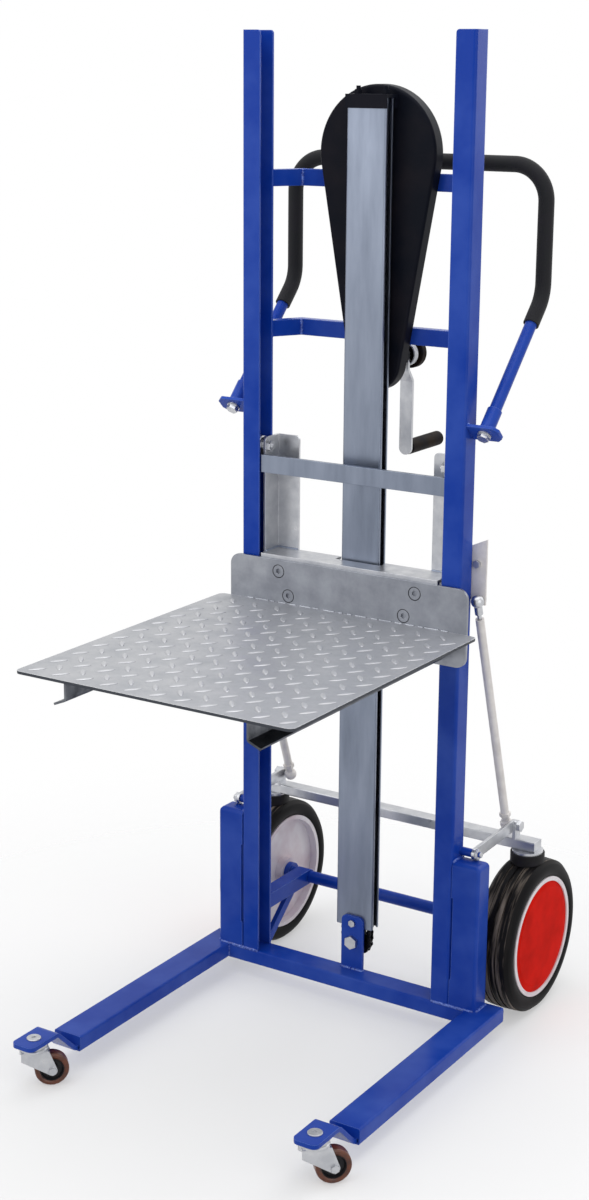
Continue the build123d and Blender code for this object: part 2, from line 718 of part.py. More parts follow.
def crank_arm():
    """Joggled flat bar with round ends and the pin for the grip."""
    middle = CRANK_HUB_Y + CRANK_BAR / 2
    shoulder = CRANK_Z - CRANK_SHOULDER
    half = CRANK_BAR_WIDTH / 2
    path = (
        (middle, CRANK_Z + half),
        (middle, shoulder),
        (middle + CRANK_JOG, shoulder - CRANK_JOG_DROP),
        (middle + CRANK_JOG, GRIP_Z - half),
    )
    strip = along_x(trace(FilletPolyline(*path, radius=CRANK_BAR), CRANK_BAR), -half, half)
    outline = drop(CRANK_Z, half, GRIP_Z, half)
    arm = strip & along_y(outline, CRANK_HUB_Y - CRANK_BAR, GRIP_Y)
    arm -= rod((0, CRANK_HUB_Y, CRANK_Z), (0, CRANK_HUB_Y + CRANK_BAR, CRANK_Z), CRANK_SHAFT_R)
    grip_end = GRIP_Y + GRIP_LENGTH + RUN_GAP
    arm += rod((0, CRANK_BAR_Y, GRIP_Z), (0, grip_end + GRIP_COLLAR, GRIP_Z), GRIP_PIN_R)
    shoulder_end = GRIP_Y - RUN_GAP
    arm += rod((0, CRANK_BAR_Y, GRIP_Z), (0, shoulder_end, GRIP_Z), 2 * GRIP_PIN_R)
    return arm + rod((0, grip_end, GRIP_Z), (0, grip_end + GRIP_COLLAR, GRIP_Z), 2 * GRIP_PIN_R)


def crank_spring():
    """Coil between the arm's hub and the disc."""
    height = SPRING_LENGTH - 2 * SPRING_WIRE_R - 2 * RUN_GAP
    start = CRANK_HUB_Y + CRANK_BAR + SPRING_WIRE_R + RUN_GAP
    foot = (0, start, CRANK_Z)
    coil = Helix(height / SPRING_TURNS, height, SPRING_R, center=foot, direction=BACK)
    wire = Plane(origin=coil @ 0, z_dir=coil % 0) * RegularPolygon(SPRING_WIRE_R, 8)
    return sweep(wire, path=coil, is_frenet=True)


def crank_disc():
    """Round black knob that holds the spring on the shaft's end."""
    disc = rod((0, DISC_Y, CRANK_Z), (0, DISC_Y + DISC_WIDTH, CRANK_Z), DISC_R)
    disc = fillet(disc.edges().filter_by(GeomType.CIRCLE), DISC_ROUND)
    return disc - rod((0, DISC_Y, CRANK_Z), (0, DISC_Y + DISC_WIDTH / 2, CRANK_Z), CRANK_SHAFT_R)


def crank_grip():
    """Round grip that turns on the pin."""
    grip = rod((0, GRIP_Y, GRIP_Z), (0, GRIP_Y + GRIP_LENGTH, GRIP_Z), GRIP_R)
    grip = fillet(grip.edges().filter_by(GeomType.CIRCLE), DISC_ROUND)
    return grip - rod((0, GRIP_Y, GRIP_Z), (0, GRIP_Y + GRIP_LENGTH, GRIP_Z), GRIP_PIN_R + FIT)


def brace_runs(inset):
    """Plan of a brace's right arm and of its middle run, drawn inside the wall by an inset."""
    kink_y = PLATE_BACK + BRACE_DEPTH / 2
    run = Vector(BRACE_KINK_X - BRACE_END_X, kink_y - MAST_DEPTH)
    across = (BRACE_DEPTH / 2 - inset) * run.length / run.Y
    slope = run.X / run.Y
    front = PLATE_BACK + inset
    back = PLATE_BACK + BRACE_DEPTH - inset
    foot = BRACE_END_X - across, BRACE_END_X + across
    inner = BRACE_END_X + slope * (front - MAST_DEPTH) - across
    outer = BRACE_END_X + slope * (back - MAST_DEPTH) + across
    arm = ((foot[0], MAST_DEPTH), (foot[1], MAST_DEPTH), (outer, back), (inner, front))
    middle = ((-inner, front), (inner, front), (outer, back), (-outer, back))
    return [make_face(Polyline(*corners, close=True)) for corners in (arm, middle)]


def brace(centre_z):
    """Bent tube from mast to mast, mitred at the kinks, with the drive case on its middle run."""
    half = BRACE_HEIGHT / 2
    arm, middle = brace_runs(0)
    arm_bore, middle_bore = brace_runs(BRACE_WALL)
    arm = along_z(arm, centre_z - half, centre_z + half)
    arm -= along_z(arm_bore, centre_z - half + BRACE_WALL, centre_z + half - BRACE_WALL)
    middle = along_z(middle, centre_z - half, centre_z + half)
    middle -= along_z(middle_bore, centre_z - half + BRACE_WALL, centre_z + half - BRACE_WALL)
    return [middle, *both(arm)]


def handle_axis():
    """Where the handle's right leg leaves its flange, and the way it points."""
    start = Vector(HANDLE_X, HANDLE_FOOT_Y, HANDLE_FOOT_Z)
    knee = Vector(HANDLE_X, HANDLE_BACK, HANDLE_KNEE)
    return start, (knee - start).normalized()


def handle_path(start):
    """Centre line of the handle from one leg, over the top, to the other leg."""
    x, y, z = start
    corners = (
        (x, y, z),
        (x, HANDLE_BACK, HANDLE_KNEE),
        (x, HANDLE_BACK, HANDLE_TOP),
        (-x, HANDLE_BACK, HANDLE_TOP),
        (-x, HANDLE_BACK, HANDLE_KNEE),
        (-x, y, z),
    )
    return FilletPolyline(*corners, radius=HANDLE_BEND)


def bent_tube(path, outer, inner):
    """Tube swept along a path."""
    section = Plane(origin=path @ 0, z_dir=path % 0) * (Circle(outer) - Circle(inner))
    return sweep(section, path=path)


def handle_tube():
    """Bent handle tube."""
    start, _ = handle_axis()
    return bent_tube(handle_path(start), HANDLE_R, HANDLE_R - HANDLE_WALL)


def handle_foam():
    """Foam cover over the bends and the top bar."""
    _, direction = handle_axis()
    knee = Vector(HANDLE_X, HANDLE_BACK, HANDLE_KNEE)
    start = knee - direction * (FOAM_START + HANDLE_BEND / 4)
    return bent_tube(handle_path(start), FOAM_R, HANDLE_R)


def handle_foot():
    """Flange on the mast's web with a sleeve that takes the handle tube."""
    start, direction = handle_axis()
    plane = Plane(origin=start, x_dir=RIGHT, z_dir=direction)
    width = 2 * (HANDLE_X - MAST_OUT)
    flange = Rectangle(width, FLANGE_DEPTH)
    flange = chamfer(flange.vertices().group_by(Axis.X)[-1], FLANGE_CHAMFER)
    foot = extrude(plane.offset(-FLANGE_THICK) * flange, FLANGE_THICK)
    return foot + extrude(plane * (Circle(SLEEVE_R) - Circle(HANDLE_R)), SLEEVE_LENGTH)


def brake_stub():
    """Pivot stub on the mast's web, with the pin that carries the brake link."""
    shoulder = MAST_OUT + BRAKE_STUB
    link_out = shoulder + RUN_GAP + LINK_THICK + RUN_GAP
    pivot = (BRAKE_PIVOT_Y, BRAKE_PIVOT_Z)
    stub = rod((MAST_OUT, *pivot), (shoulder, *pivot), BRAKE_STUB_R)
    return stub + rod((shoulder, *pivot), (link_out + HEX_HEIGHT, *pivot), BRAKE_PIN_R)


def link_x():
    """Inner and outer face of the right brake link."""
    low = MAST_OUT + BRAKE_STUB + RUN_GAP
    return low, low + LINK_THICK


def strut_low():
    """Centre of the strut's lower ball."""
    return STRUT_LOW_X, LINK_END_Y, LINK_END_Z


def brake_link():
    """Flat link from the pivot to the bar, with the strut's ball stud and its nut."""
    low, high = link_x()
    ends = Pos(BRAKE_PIVOT_Y, BRAKE_PIVOT_Z) * Circle(LINK_WIDTH / 2)
    ends += Pos(LINK_END_Y, LINK_END_Z) * Circle(LINK_WIDTH / 2)
    link = along_x(make_hull(ends.edges()), low, high)
    pivot = (BRAKE_PIVOT_Y, BRAKE_PIVOT_Z)
    link -= rod((low, *pivot), (high, *pivot), BRAKE_PIN_R + FIT)
    stud = rod(strut_low(), (low, LINK_END_Y, LINK_END_Z), STUD_R)
    return link + stud + Pos(*strut_low()) * Sphere(BALL_R)


def bar_z():
    """Underside and top of the brake bar."""
    low = 2 * WHEEL_R + PAD_THICK + PAD_DISC
    return low, low + BAR_HEIGHT


def brake_bar():
    """Tube across both wheels with a tab for each link and a disc above each pad."""
    half = BAR_LENGTH / 2
    low, high = bar_z()
    y = (WHEEL_Y - BAR_DEPTH / 2, WHEEL_Y + BAR_DEPTH / 2)
    bar = block((-half, half), y, (low, high))
    bar = fillet(bar.edges().filter_by(Axis.X), BAR_WALL)
    inside_y = (y[0] + BAR_WALL, y[1] - BAR_WALL)
    inside_z = (low + BAR_WALL, high - BAR_WALL)
    bar -= block((BAR_WALL - half, half - BAR_WALL), inside_y, inside_z)
    tab_in = link_x()[1]
    ends = Pos(LINK_END_Y, LINK_END_Z) * Circle(LINK_WIDTH / 2)
    ends += Pos(LINK_END_Y, high - BAR_WALL / 2) * Rectangle(LINK_WIDTH, BAR_WALL)
    tab = along_x(make_hull(ends.edges()), tab_in, tab_in + TAB_THICK)
    nut_face = (tab_in + TAB_THICK, LINK_END_Y, LINK_END_Z)
    tab += hexagon(nut_face, RIGHT, HEX_LARGE, HEX_HEIGHT)
    disc = rod((WHEEL_X, WHEEL_Y, low - PAD_DISC), (WHEEL_X, WHEEL_Y, low), PAD_DISC_R)
    for piece in [*both(tab), *both(disc)]:
        bar += piece
    return bar


def brake_pad():
    """Rubber pad with its underside hollowed to the tyre."""
    low, _ = bar_z()
    top = low - PAD_DISC
    pad = rod((WHEEL_X, WHEEL_Y, top - 1.5 * PAD_THICK), (WHEEL_X, WHEEL_Y, top), PAD_R)
    reach = WHEEL_X + WHEEL_WIDTH
    return pad - rod((0, WHEEL_Y, WHEEL_R), (reach, WHEEL_Y, WHEEL_R), WHEEL_R + RUN_GAP)


def strut_line():
    """Both ball centres, the length between them and the way from the lower to the upper."""
    low = Vector(*strut_low())
    top = Vector(STRUT_TOP_X, STRUT_TOP_Y, STRUT_TOP_Z)
    return low, top, (top - low).length, (top - low).normalized()


def strut_tube():
    """Cylinder of the brake strut with the socket at its lower end."""
    low, _, length, way = strut_line()
    top = length - NECK - STRUT_SHOWN_ROD
    tube = Pos(*low) * Sphere(SOCKET_R)
    tube += rod(low, low + way * NECK, NECK_R)
    tube += hexagon(low + way * (NECK - HEX_HEIGHT), way, HEX_LARGE, HEX_HEIGHT)
    tube += rod(low + way * NECK, low + way * top, STRUT_R)
    tube -= rod(low + way * (top - STRUT_ROD_INSIDE), low + way * top, STRUT_BORE_R)
    tube -= Pos(*low) * Rot(0, 0, 90) * Sphere(BALL_R + FIT)
    return tube - rod(low, low + Vector(2 * SOCKET_R, 0, 0), STUD_DOOR_R)


def strut_rod():
    """Piston rod of the brake strut with the socket at its upper end."""
    _, top, _, way = strut_line()
    socket = Pos(*top) * Sphere(SOCKET_R)
    socket += rod(top, top - way * NECK, NECK_R)
    reach = NECK + STRUT_SHOWN_ROD + STRUT_ROD_INSIDE / 2
    socket += rod(top, top - way * reach, STRUT_ROD_R)
    socket -= Pos(*top) * Sphere(BALL_R + FIT)
    return socket - rod(top, top + Vector(0, 2 * SOCKET_R, 0), STUD_DOOR_R)


def strut_bracket():
    """Plate with a slanted top on the mast's rear flange, with the strut's upper ball stud."""
    y = (MAST_DEPTH, MAST_DEPTH + STRUT_PLATE)
    out = STRUT_TOP_X + STRUT_PLATE_MARGIN
    low = STRUT_TOP_Z - STRUT_PLATE_MARGIN
    corners = (
        (STRUT_PLATE_IN, low + STRUT_PLATE_SLANT),
        (STRUT_TOP_X - STRUT_PLATE_MARGIN, low),
        (out, low),
        (out, STRUT_PLATE_TOP),
        (STRUT_PLATE_IN, STRUT_PLATE_TOP - STRUT_PLATE_SLANT),
    )
    plate = along_y(make_face(Polyline(*corners, close=True)), *y)
    top = (STRUT_TOP_X, STRUT_TOP_Y, STRUT_TOP_Z)
    plate += rod(top, (STRUT_TOP_X, y[0], STRUT_TOP_Z), STUD_R)
    return plate + Pos(*top) * Sphere(BALL_R)


def frame_bolts():
    """Visible screws, nuts and bolts of the frame, with the tail sprocket's axle."""
    bolts = []
    bracket_front = COLUMN_FRONT - BRACKET_THICK
    hub_front = LIFT_CHAIN_Y - SPROCKET_HUB / 2 - RUN_GAP
    hub_back = LIFT_CHAIN_Y + SPROCKET_HUB / 2 + RUN_GAP
    axle = rod((0, bracket_front, TAIL_Z), (0, hub_back + HEX_HEIGHT, TAIL_Z), TAIL_AXLE_R)
    axle += hexagon((0, bracket_front, TAIL_Z), (0, -1, 0), HEX_AXLE, HEX_HEIGHT)
    axle += rod((0, COLUMN_FRONT, TAIL_Z), (0, hub_front, TAIL_Z), 1.5 * TAIL_AXLE_R)
    bolts.append(axle + hexagon((0, hub_back, TAIL_Z), BACK, HEX_AXLE, HEX_HEIGHT))
    bolts.append(hexagon((0, bracket_front, BRACKET_SCREW_Z), (0, -1, 0), HEX_SMALL, HEX_HEIGHT / 2))
    strap_top = COLUMN_TOP + CAP_STRAP
    stud_y = (COLUMN_FRONT + CASE_FRONT) / 2
    foot = Vector(TENSION_X, stud_y, strap_top)
    stud = rod(foot, foot + Vector(0, 0, TENSION_STUD), TENSION_STUD_R)
    stud += hexagon(foot, (0, 0, 1), HEX_SMALL, HEX_HEIGHT)
    bolts += both(stud)
    pivot = (BRAKE_PIVOT_Y, BRAKE_PIVOT_Z)
    link_out = link_x()[1] + RUN_GAP
    nut = hexagon((link_out, *pivot), RIGHT, HEX_LARGE, HEX_THIN)
    bolts += both(nut - rod((link_out, *pivot), (link_out + HEX_THIN, *pivot), BRAKE_PIN_R))
    start, direction = handle_axis()
    under = start - direction * FLANGE_THICK
    head = under - direction * WASHER
    bolt = rod(under, head, HEX_LARGE / 2 + WASHER)
    bolts += both(bolt + hexagon(head, -direction, HEX_LARGE, HEX_HEIGHT))
    seat_z = (STRUT_TOP_Z + STRUT_PLATE_TOP + HEX_LARGE) / 2
    seat = (STRUT_TOP_X - STRUT_PLATE_MARGIN, MAST_DEPTH, seat_z)
    bolts += both(hexagon(seat, (0, -1, 0), HEX_SMALL, HEX_THIN))
    stud_nut = (STRUT_TOP_X, MAST_DEPTH + STRUT_PLATE, STRUT_TOP_Z)
    bolts += both(hexagon(stud_nut, BACK, HEX_SMALL, HEX_THIN))
    return bolts


def upright():
    """Right angle of the carriage, its leg turned in behind the mast."""
    x_in = UPRIGHT_OUT - ANGLE_SHEET
    back = UPRIGHT_FRONT + ANGLE
    z = (UPRIGHT_LOW, UPRIGHT_TOP)
    side = block((x_in, UPRIGHT_OUT), (UPRIGHT_FRONT, back), z)
    corner = side.edges().filter_by(Axis.X).group_by(Axis.Z)[-1].group_by(Axis.Y)[0]
    side = fillet(corner, ANGLE_ROUND)
    leg = block((UPRIGHT_OUT - ANGLE, UPRIGHT_OUT), (back - ANGLE_SHEET, back), z)
    corner = leg.edges().filter_by(Axis.Y).group_by(Axis.Z)[-1].group_by(Axis.X)[0]
    leg = fillet(corner, ANGLE_ROUND)
    angle = side + leg
    for place in ROLLERS:
        axis = (MAST_DEPTH / 2, place)
        angle -= rod((x_in, *axis), (UPRIGHT_OUT, *axis), ROLLER_AXLE_R)
    return angle


def roller_axle(place):
    """Stub axle through the right upright, with its nut inside and its head in the mast."""
    x_in = UPRIGHT_OUT - ANGLE_SHEET
    axis = (MAST_DEPTH / 2, place)
    end = ROLLER_IN + ROLLER_WIDTH + RUN_GAP
    axle = rod((x_in - HEX_HEIGHT - AXLE_END, *axis), (end, *axis), ROLLER_AXLE_R)
    axle += rod((end, *axis), (end + ROLLER_HEAD, *axis), ROLLER_HEAD_R)
    axle += rod((UPRIGHT_OUT, *axis), (ROLLER_IN - RUN_GAP, *axis), ROLLER_HEAD_R)
    return axle + hexagon((x_in, *axis), (-1, 0, 0), HEX_LARGE, HEX_HEIGHT)


def roller(place):
    """Flat steel roller in the right mast."""
    wheel = ring(0, ROLLER_WIDTH, ROLLER_AXLE_R + FIT, ROLLER_WHEEL_R)
    wheel = chamfer(wheel.vertices().group_by(Axis.Y)[-1], ROLLER_CHAMFER)
    return turned(wheel, (ROLLER_IN, MAST_DEPTH / 2, place))


def deck_bolt(x, z):
    """Countersunk socket screw through the back plate and the beam."""
    deep = BOLT_SINK
    y = BACK_PLATE_FRONT
    middle = Plane(origin=(x, y + deep / 2, z), z_dir=BACK)
    head = middle * Cone(BOLT_HEAD_R, BOLT_R, deep)
    return head + rod((x, y + deep, z), (x, BEAM_FRONT + BEAM_SHEET, z), BOLT_R)


def deck_screws():
    """All four screws of the back plate."""
    return [piece for x, z in DECK_BOLTS for piece in both(deck_bolt(x, z))]


def socket(x, z):
    """Hex socket in a screw's head."""
    return hexagon((x, BACK_PLATE_FRONT, z), BACK, BOLT_SOCKET, BOLT_SOCKET_DEEP)


def carriage_beam():
    """Angle across the carriage, notched behind for the column."""
    x_in = UPRIGHT_OUT - ANGLE_SHEET
    back = UPRIGHT_FRONT + ANGLE - ANGLE_SHEET
    face_back = BEAM_FRONT + BEAM_SHEET
    beam = block((-x_in, x_in), (BEAM_FRONT, face_back), (UPRIGHT_LOW, BEAM_TOP))
    beam += block((-x_in, x_in), (face_back, back), (BEAM_TOP - BEAM_LEG, BEAM_TOP))
    notch = block((-BEAM_NOTCH_X, BEAM_NOTCH_X), (BEAM_NOTCH_Y, back), (UPRIGHT_LOW, BEAM_TOP))
    beam -= notch
    for screw in deck_screws():
        beam -= screw
    return beam


def chain_clamp():
    """Block under the beam that takes hold of the chain's right strand."""
    strand = LIFT_R + CHAIN_HEIGHT / 2 + CLAMP_GAP
    top = BEAM_TOP - BEAM_LEG
    half = CHAIN_INSIDE / 2 + CHAIN_SHEET + CLAMP_SIDE
    y = (LIFT_CHAIN_Y - half, LIFT_CHAIN_Y + half)
    return block((strand, CLAMP_REACH), y, (top - CLAMP_HEIGHT, top))


def back_plate():
    """Plate between the deck and the carriage."""
    half = BACK_PLATE_WIDTH / 2
    plate = block((-half, half), (BACK_PLATE_FRONT, BEAM_FRONT), BACK_PLATE_Z)
    plate = fillet(plate.edges().filter_by(Axis.Y), BACK_PLATE_ROUND)
    for screw in deck_screws():
        plate -= screw
    return plate


def deck_plate():
    """Flat load deck with rounded corners."""
    half = DECK_WIDTH / 2
    deck = block((-half, half), (DECK_FRONT, BACK_PLATE_FRONT), (DECK_TOP - DECK_SHEET, DECK_TOP))
    return fillet(deck.edges().filter_by(Axis.Z), DECK_ROUND)


def deck_rib():
    """Bent rib under the deck with its lower edge flared out."""
    top = DECK_TOP - DECK_SHEET
    path = (
        (RIB_X, top),
        (RIB_X, top - RIB_DEPTH),
        (RIB_X + RIB_FLARE_X, top - RIB_DEPTH - RIB_FLARE_Z),
    )
    strip = trace(FilletPolyline(*path, radius=RIB_SHEET), RIB_SHEET)
    return along_y(strip, DECK_FRONT + RIB_SETBACK, BACK_PLATE_FRONT)


# Frame
for side, piece in zip(("right", "left"), both(mast())):
    save(f"mast_{side}", piece)
save("base_frame", *base_frame())
save("mast_feet", *both(mast_foot()))
save("caster_plates", *both(caster_plate()))
save("caster_heads", *both(caster_head()))
save("braces", *[piece for place in BRACES for piece in brace(place)])
save("axle_arms", *[piece for part in axle_arm() for piece in both(part)])
save("wheel_axle", wheel_axle())
save("column", *column())
save("top_bracket", top_bracket())
save("foot_bracket", foot_bracket())
save("drive_case", drive_case())
save("case_plate", case_plate())
save("handle_tube", handle_tube())
save("handle_foam", handle_foam())
save("handle_feet", *both(handle_foot()))
save("brake_stubs", *both(brake_stub()))
save("strut_brackets", *both(strut_bracket()))
save("frame_bolts", *frame_bolts())

# Chain drives
save("lift_chain", *chain_loop((LIFT_Z, LIFT_R), (TAIL_Z, LIFT_R), LIFT_CHAIN_Y))
save("drive_chain", *chain_loop((LIFT_Z, DRIVEN_R), (CRANK_Z, CRANK_R), DRIVE_CHAIN_Y))
shaft_start = COLUMN_FRONT + COLUMN_SHEET + RUN_GAP
save("lift_shaft", rod((0, shaft_start, LIFT_Z), (0, PLATE_BACK, LIFT_Z), SHAFT_R))
save("lift_sprocket", sprocket(LIFT_TEETH, LIFT_R, LIFT_Z, LIFT_CHAIN_Y, SHAFT_R))
save("driven_sprocket", sprocket(DRIVEN_TEETH, DRIVEN_R, LIFT_Z, DRIVE_CHAIN_Y, SHAFT_R))
save("tail_sprocket", sprocket(LIFT_TEETH, LIFT_R, TAIL_Z, LIFT_CHAIN_Y, TAIL_AXLE_R + FIT))

# Crank
crank_start = DRIVE_CHAIN_Y - SPROCKET_HUB / 2
crank_end = DISC_Y + DISC_WIDTH / 2
pinion = sprocket(CRANK_TEETH, CRANK_R, CRANK_Z, DRIVE_CHAIN_Y, CRANK_SHAFT_R)
save("crank_shaft", rod((0, crank_start, CRANK_Z), (0, crank_end, CRANK_Z), CRANK_SHAFT_R), pinion)
save("crank_arm", crank_arm())
save("crank_spring", crank_spring())
save("crank_disc", crank_disc())
save("crank_grip", crank_grip())

# Carriage and deck
for side, piece in zip(("right", "left"), both(upright())):
    save(f"carriage_upright_{side}", piece)
top_bar_y = (UPRIGHT_FRONT - TOP_BAR_THICK, UPRIGHT_FRONT)
save("carriage_top_bar", block((-UPRIGHT_OUT, UPRIGHT_OUT), top_bar_y, TOP_BAR_Z))
save("carriage_beam", carriage_beam())
save("chain_clamp", chain_clamp())
save("roller_axles", *[piece for place in ROLLERS for piece in both(roller_axle(place))])
save("lower_rollers", *both(roller(ROLLERS[0])))
save("upper_rollers", *both(roller(ROLLERS[1])))
save("back_plate", back_plate())
screws = [deck_bolt(x, z) - socket(x, z) for x, z in DECK_BOLTS]
save("deck_bolts", *[piece for screw in screws for piece in both(screw)])
save("deck_plate", deck_plate())
save("deck_ribs", *both(deck_rib()))

# Wheels and casters
wheel_centre = (WHEEL_X, WHEEL_Y, WHEEL_R)
wheel_outlines = {"tyre": tyre_outline(), "rim": rim_outline(), "wheel_cap": cap_outline()}
for name, outline in wheel_outlines.items():
    for side, piece in zip(("right", "left"), both(turned(outline, wheel_centre))):
        save(f"{name}_{side}", piece)
swivel_x, swivel_y = swivel()
for side, x in (("right", swivel_x), ("left", -swivel_x)):
    place = caster_place(x, swivel_y)
    save(f"caster_fork_{side}", *[place * piece for piece in caster_fork()])
    save(f"caster_wheel_{side}", *[place * piece for piece in caster_wheel()])

# Brake
save("brake_bar", brake_bar())
save("brake_links", *both(brake_link()))
save("brake_pads", *both(brake_pad()))
for side, piece in zip(("right", "left"), both(strut_tube())):
    save(f"strut_tube_{side}", piece)
for side, piece in zip(("right", "left"), both(strut_rod())):
    save(f"strut_rod_{side}", piece)
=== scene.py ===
import json
import math
import random

import bmesh
import bpy
from mathutils import Matrix, Vector


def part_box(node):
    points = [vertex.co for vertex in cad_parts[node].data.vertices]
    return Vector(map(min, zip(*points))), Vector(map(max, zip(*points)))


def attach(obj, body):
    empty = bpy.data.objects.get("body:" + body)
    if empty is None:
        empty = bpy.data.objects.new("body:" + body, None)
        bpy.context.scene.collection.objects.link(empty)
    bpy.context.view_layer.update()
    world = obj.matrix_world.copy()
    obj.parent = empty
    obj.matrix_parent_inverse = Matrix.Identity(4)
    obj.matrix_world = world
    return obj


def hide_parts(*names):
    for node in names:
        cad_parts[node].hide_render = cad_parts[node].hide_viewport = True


bl_info = {
    "name": "Material lift looks",
    "version": (1, 0, 0),
    "blender": (4, 5, 0),
    "location": "3D View > Sidebar > Lift",
    "description": "Finishes, chequer lugs, chain links, welds and stage for a hand-cranked material lift",
    "category": "Object",
}

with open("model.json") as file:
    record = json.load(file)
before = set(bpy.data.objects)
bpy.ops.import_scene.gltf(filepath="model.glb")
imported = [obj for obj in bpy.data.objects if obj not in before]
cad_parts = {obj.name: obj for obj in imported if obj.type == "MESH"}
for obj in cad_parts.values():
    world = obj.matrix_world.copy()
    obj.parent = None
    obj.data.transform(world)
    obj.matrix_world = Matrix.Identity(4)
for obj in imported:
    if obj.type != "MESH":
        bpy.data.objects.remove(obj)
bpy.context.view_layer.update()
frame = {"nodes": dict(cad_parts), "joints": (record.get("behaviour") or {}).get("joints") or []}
NODES = frame["nodes"]
MM = 0.001
SIDES = {"right": 1, "left": -1}
MAST_LOW, MAST_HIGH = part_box("mast_right")
BASE_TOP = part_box("base_frame")[1].z
TEETH = 14
# The deck is cut from a larger sheet, so its pattern isn't centred.
LUG_SHIFT = (2 * MM, 8 * MM)
LUG_LEAN = math.radians(52)
# Places on the frame that the boxes of its nodes don't give.
LEG_IN = 266 * MM
RAIL_HEIGHT = 30 * MM
BRACE_FOOT = (206 * MM, 226 * MM)
BRACE_KINK = 172 * MM
BRACE_DEPTH = 20 * MM
HANDLE_FOOT = Vector((264 * MM, MAST_LOW.y + 21 * MM, 1156 * MM))
HANDLE_WAY = Vector((0, 0.692, 0.722))
HANDLE_SOCKET = 14 * MM
FLANGE_HALF = 19 * MM
# Places on the carriage.
DECK_SCREWS = ((146 * MM, 853 * MM), (124 * MM, 808 * MM))
SCREW_HEAD = 11.6 * MM
RIB_SEAM = 180 * MM
# The camera in metres and degrees, fitted to the edges of the lift.
CAMERA_PLACE = (1.822275, -2.905575, 1.77645)
CAMERA_TURN, CAMERA_DIP, CAMERA_ROLL = 32.520, 15.162, 0.396
CAMERA_LENS = 59.655


def linear(hex_colour):
    """Turn an sRGB hex colour into the linear colour that shaders take."""
    parts = [int(hex_colour[place:place + 2], 16) / 255 for place in (0, 2, 4)]
    return [part / 12.92 if part <= 0.04045 else ((part + 0.055) / 1.055) ** 2.4 for part in parts] + [1.0]


def colour(name, description, hex_colour):
    """Property for one colour of the lift."""
    return bpy.props.FloatVectorProperty(
        name=name, description=description, subtype="COLOR", size=4, min=0, max=1, default=linear(hex_colour)
    )


def length(name, description, millimetres):
    """Property for one size of the lift."""
    return bpy.props.FloatProperty(
        name=name, description=description, subtype="DISTANCE", unit="LENGTH", default=millimetres * MM
    )


class LiftColours(bpy.types.PropertyGroup):
    """Colours of the lift's finishes."""

    blue: colour("Blue", "Powder coat of masts, base and handle", "103ba1")
    # Lighter blue: a painted highlight on edges and weld beads, and the light tone of the blue's random
    # clouds.
    blue_thin: colour("Thin blue", "Powder coat where it runs thin on edges", "6a8ce6")
    zinc: colour("Zinc", "Bright zinc plating of bars, struts and screws", "c6c7ca")
    zinc_cloud: colour("Zinc cloud", "Duller patches of the plating", "b2b4b9")
    dull: colour("Dull zinc", "Passivated strut gear", "ebe7e4")
    dull_cloud: colour("Dull zinc cloud", "Greyer bloom on the strut gear", "d6d2cf")
    sheet: colour("Galvanised sheet", "Column and carriage", "8b93a3")
    sheet_cloud: colour("Sheet cloud", "Darker runs on the galvanised sheet", "747c8b")
    rolled: colour("Rolled plate", "Back plate and its screws", "9fa2a9")
    rolled_dark: colour("Rolled plate dark", "Dull clouds on the back plate", "888b93")
    plate: colour("Steel plate", "Ground of the deck", "b8b9bc")
    plate_dark: colour("Steel plate dark", "Greyer clouds on the deck", "a3a5a9")
    plate_edge: colour("Steel plate edge", "Sheared edge of the deck, worn bright", "f4f5f6")
    # Painted highlight: the lugs are coloured lighter than the plate, standing in for light on their crests.
    lug: colour("Lug", "Crests of the deck's lugs, walked bright", "bfc0c3")
    # Painted shade: the ribs are coloured darker than the deck for the shade under it.
    shaded_rib_steel: colour("Mill scale", "Ribs under the deck", "74777d")
    # Dark steel: darker clouds on the ribs, and painted shade on the deck's sides and underside.
    mill_scale_dark: colour("Mill scale dark", "Thicker scale, and the deck's edges and underside", "45484e")
    black: colour("Black paint", "Drive case and strap", "10131c")
    # Warmer dark tone: dust, and on the drive case also a painted sheen of its side wall.
    black_dust: colour("Black paint dust", "Dust on the drive case", "1e1c22")
    oiled: colour("Oiled steel", "Chains, sprockets and shafts", "3a393a")
    foam: colour("Foam", "Handle cover", "17181b")
    grip: colour("Grip", "Crank grip and disc", "221a14")
    rubber: colour("Rubber", "Tyres and pads", "0e0d0f")
    rubber_dust: colour("Rubber dust", "Dust rubbed into the tread", "857a70")
    rim: colour("Rim", "Moulded wheel rims", "e6e0e4")
    rim_stain: colour("Rim stain", "Warm cast in the rim's dish", "cdb9c2")
    cap: colour("Cap", "Wheel caps", "da1708")
    cap_wear: colour("Cap wear", "Scuffs on the wheel caps", "be1308")
    tread: colour("Caster tread", "Cast polyurethane of the casters", "653014")
    tread_deep: colour("Caster tread deep", "Shaded depth of the polyurethane", "3a2018")
    core: colour("Caster core", "Moulded core of the casters", "2b2a2c")
    floor: colour("Floor", "Studio floor", "f4f4f5")


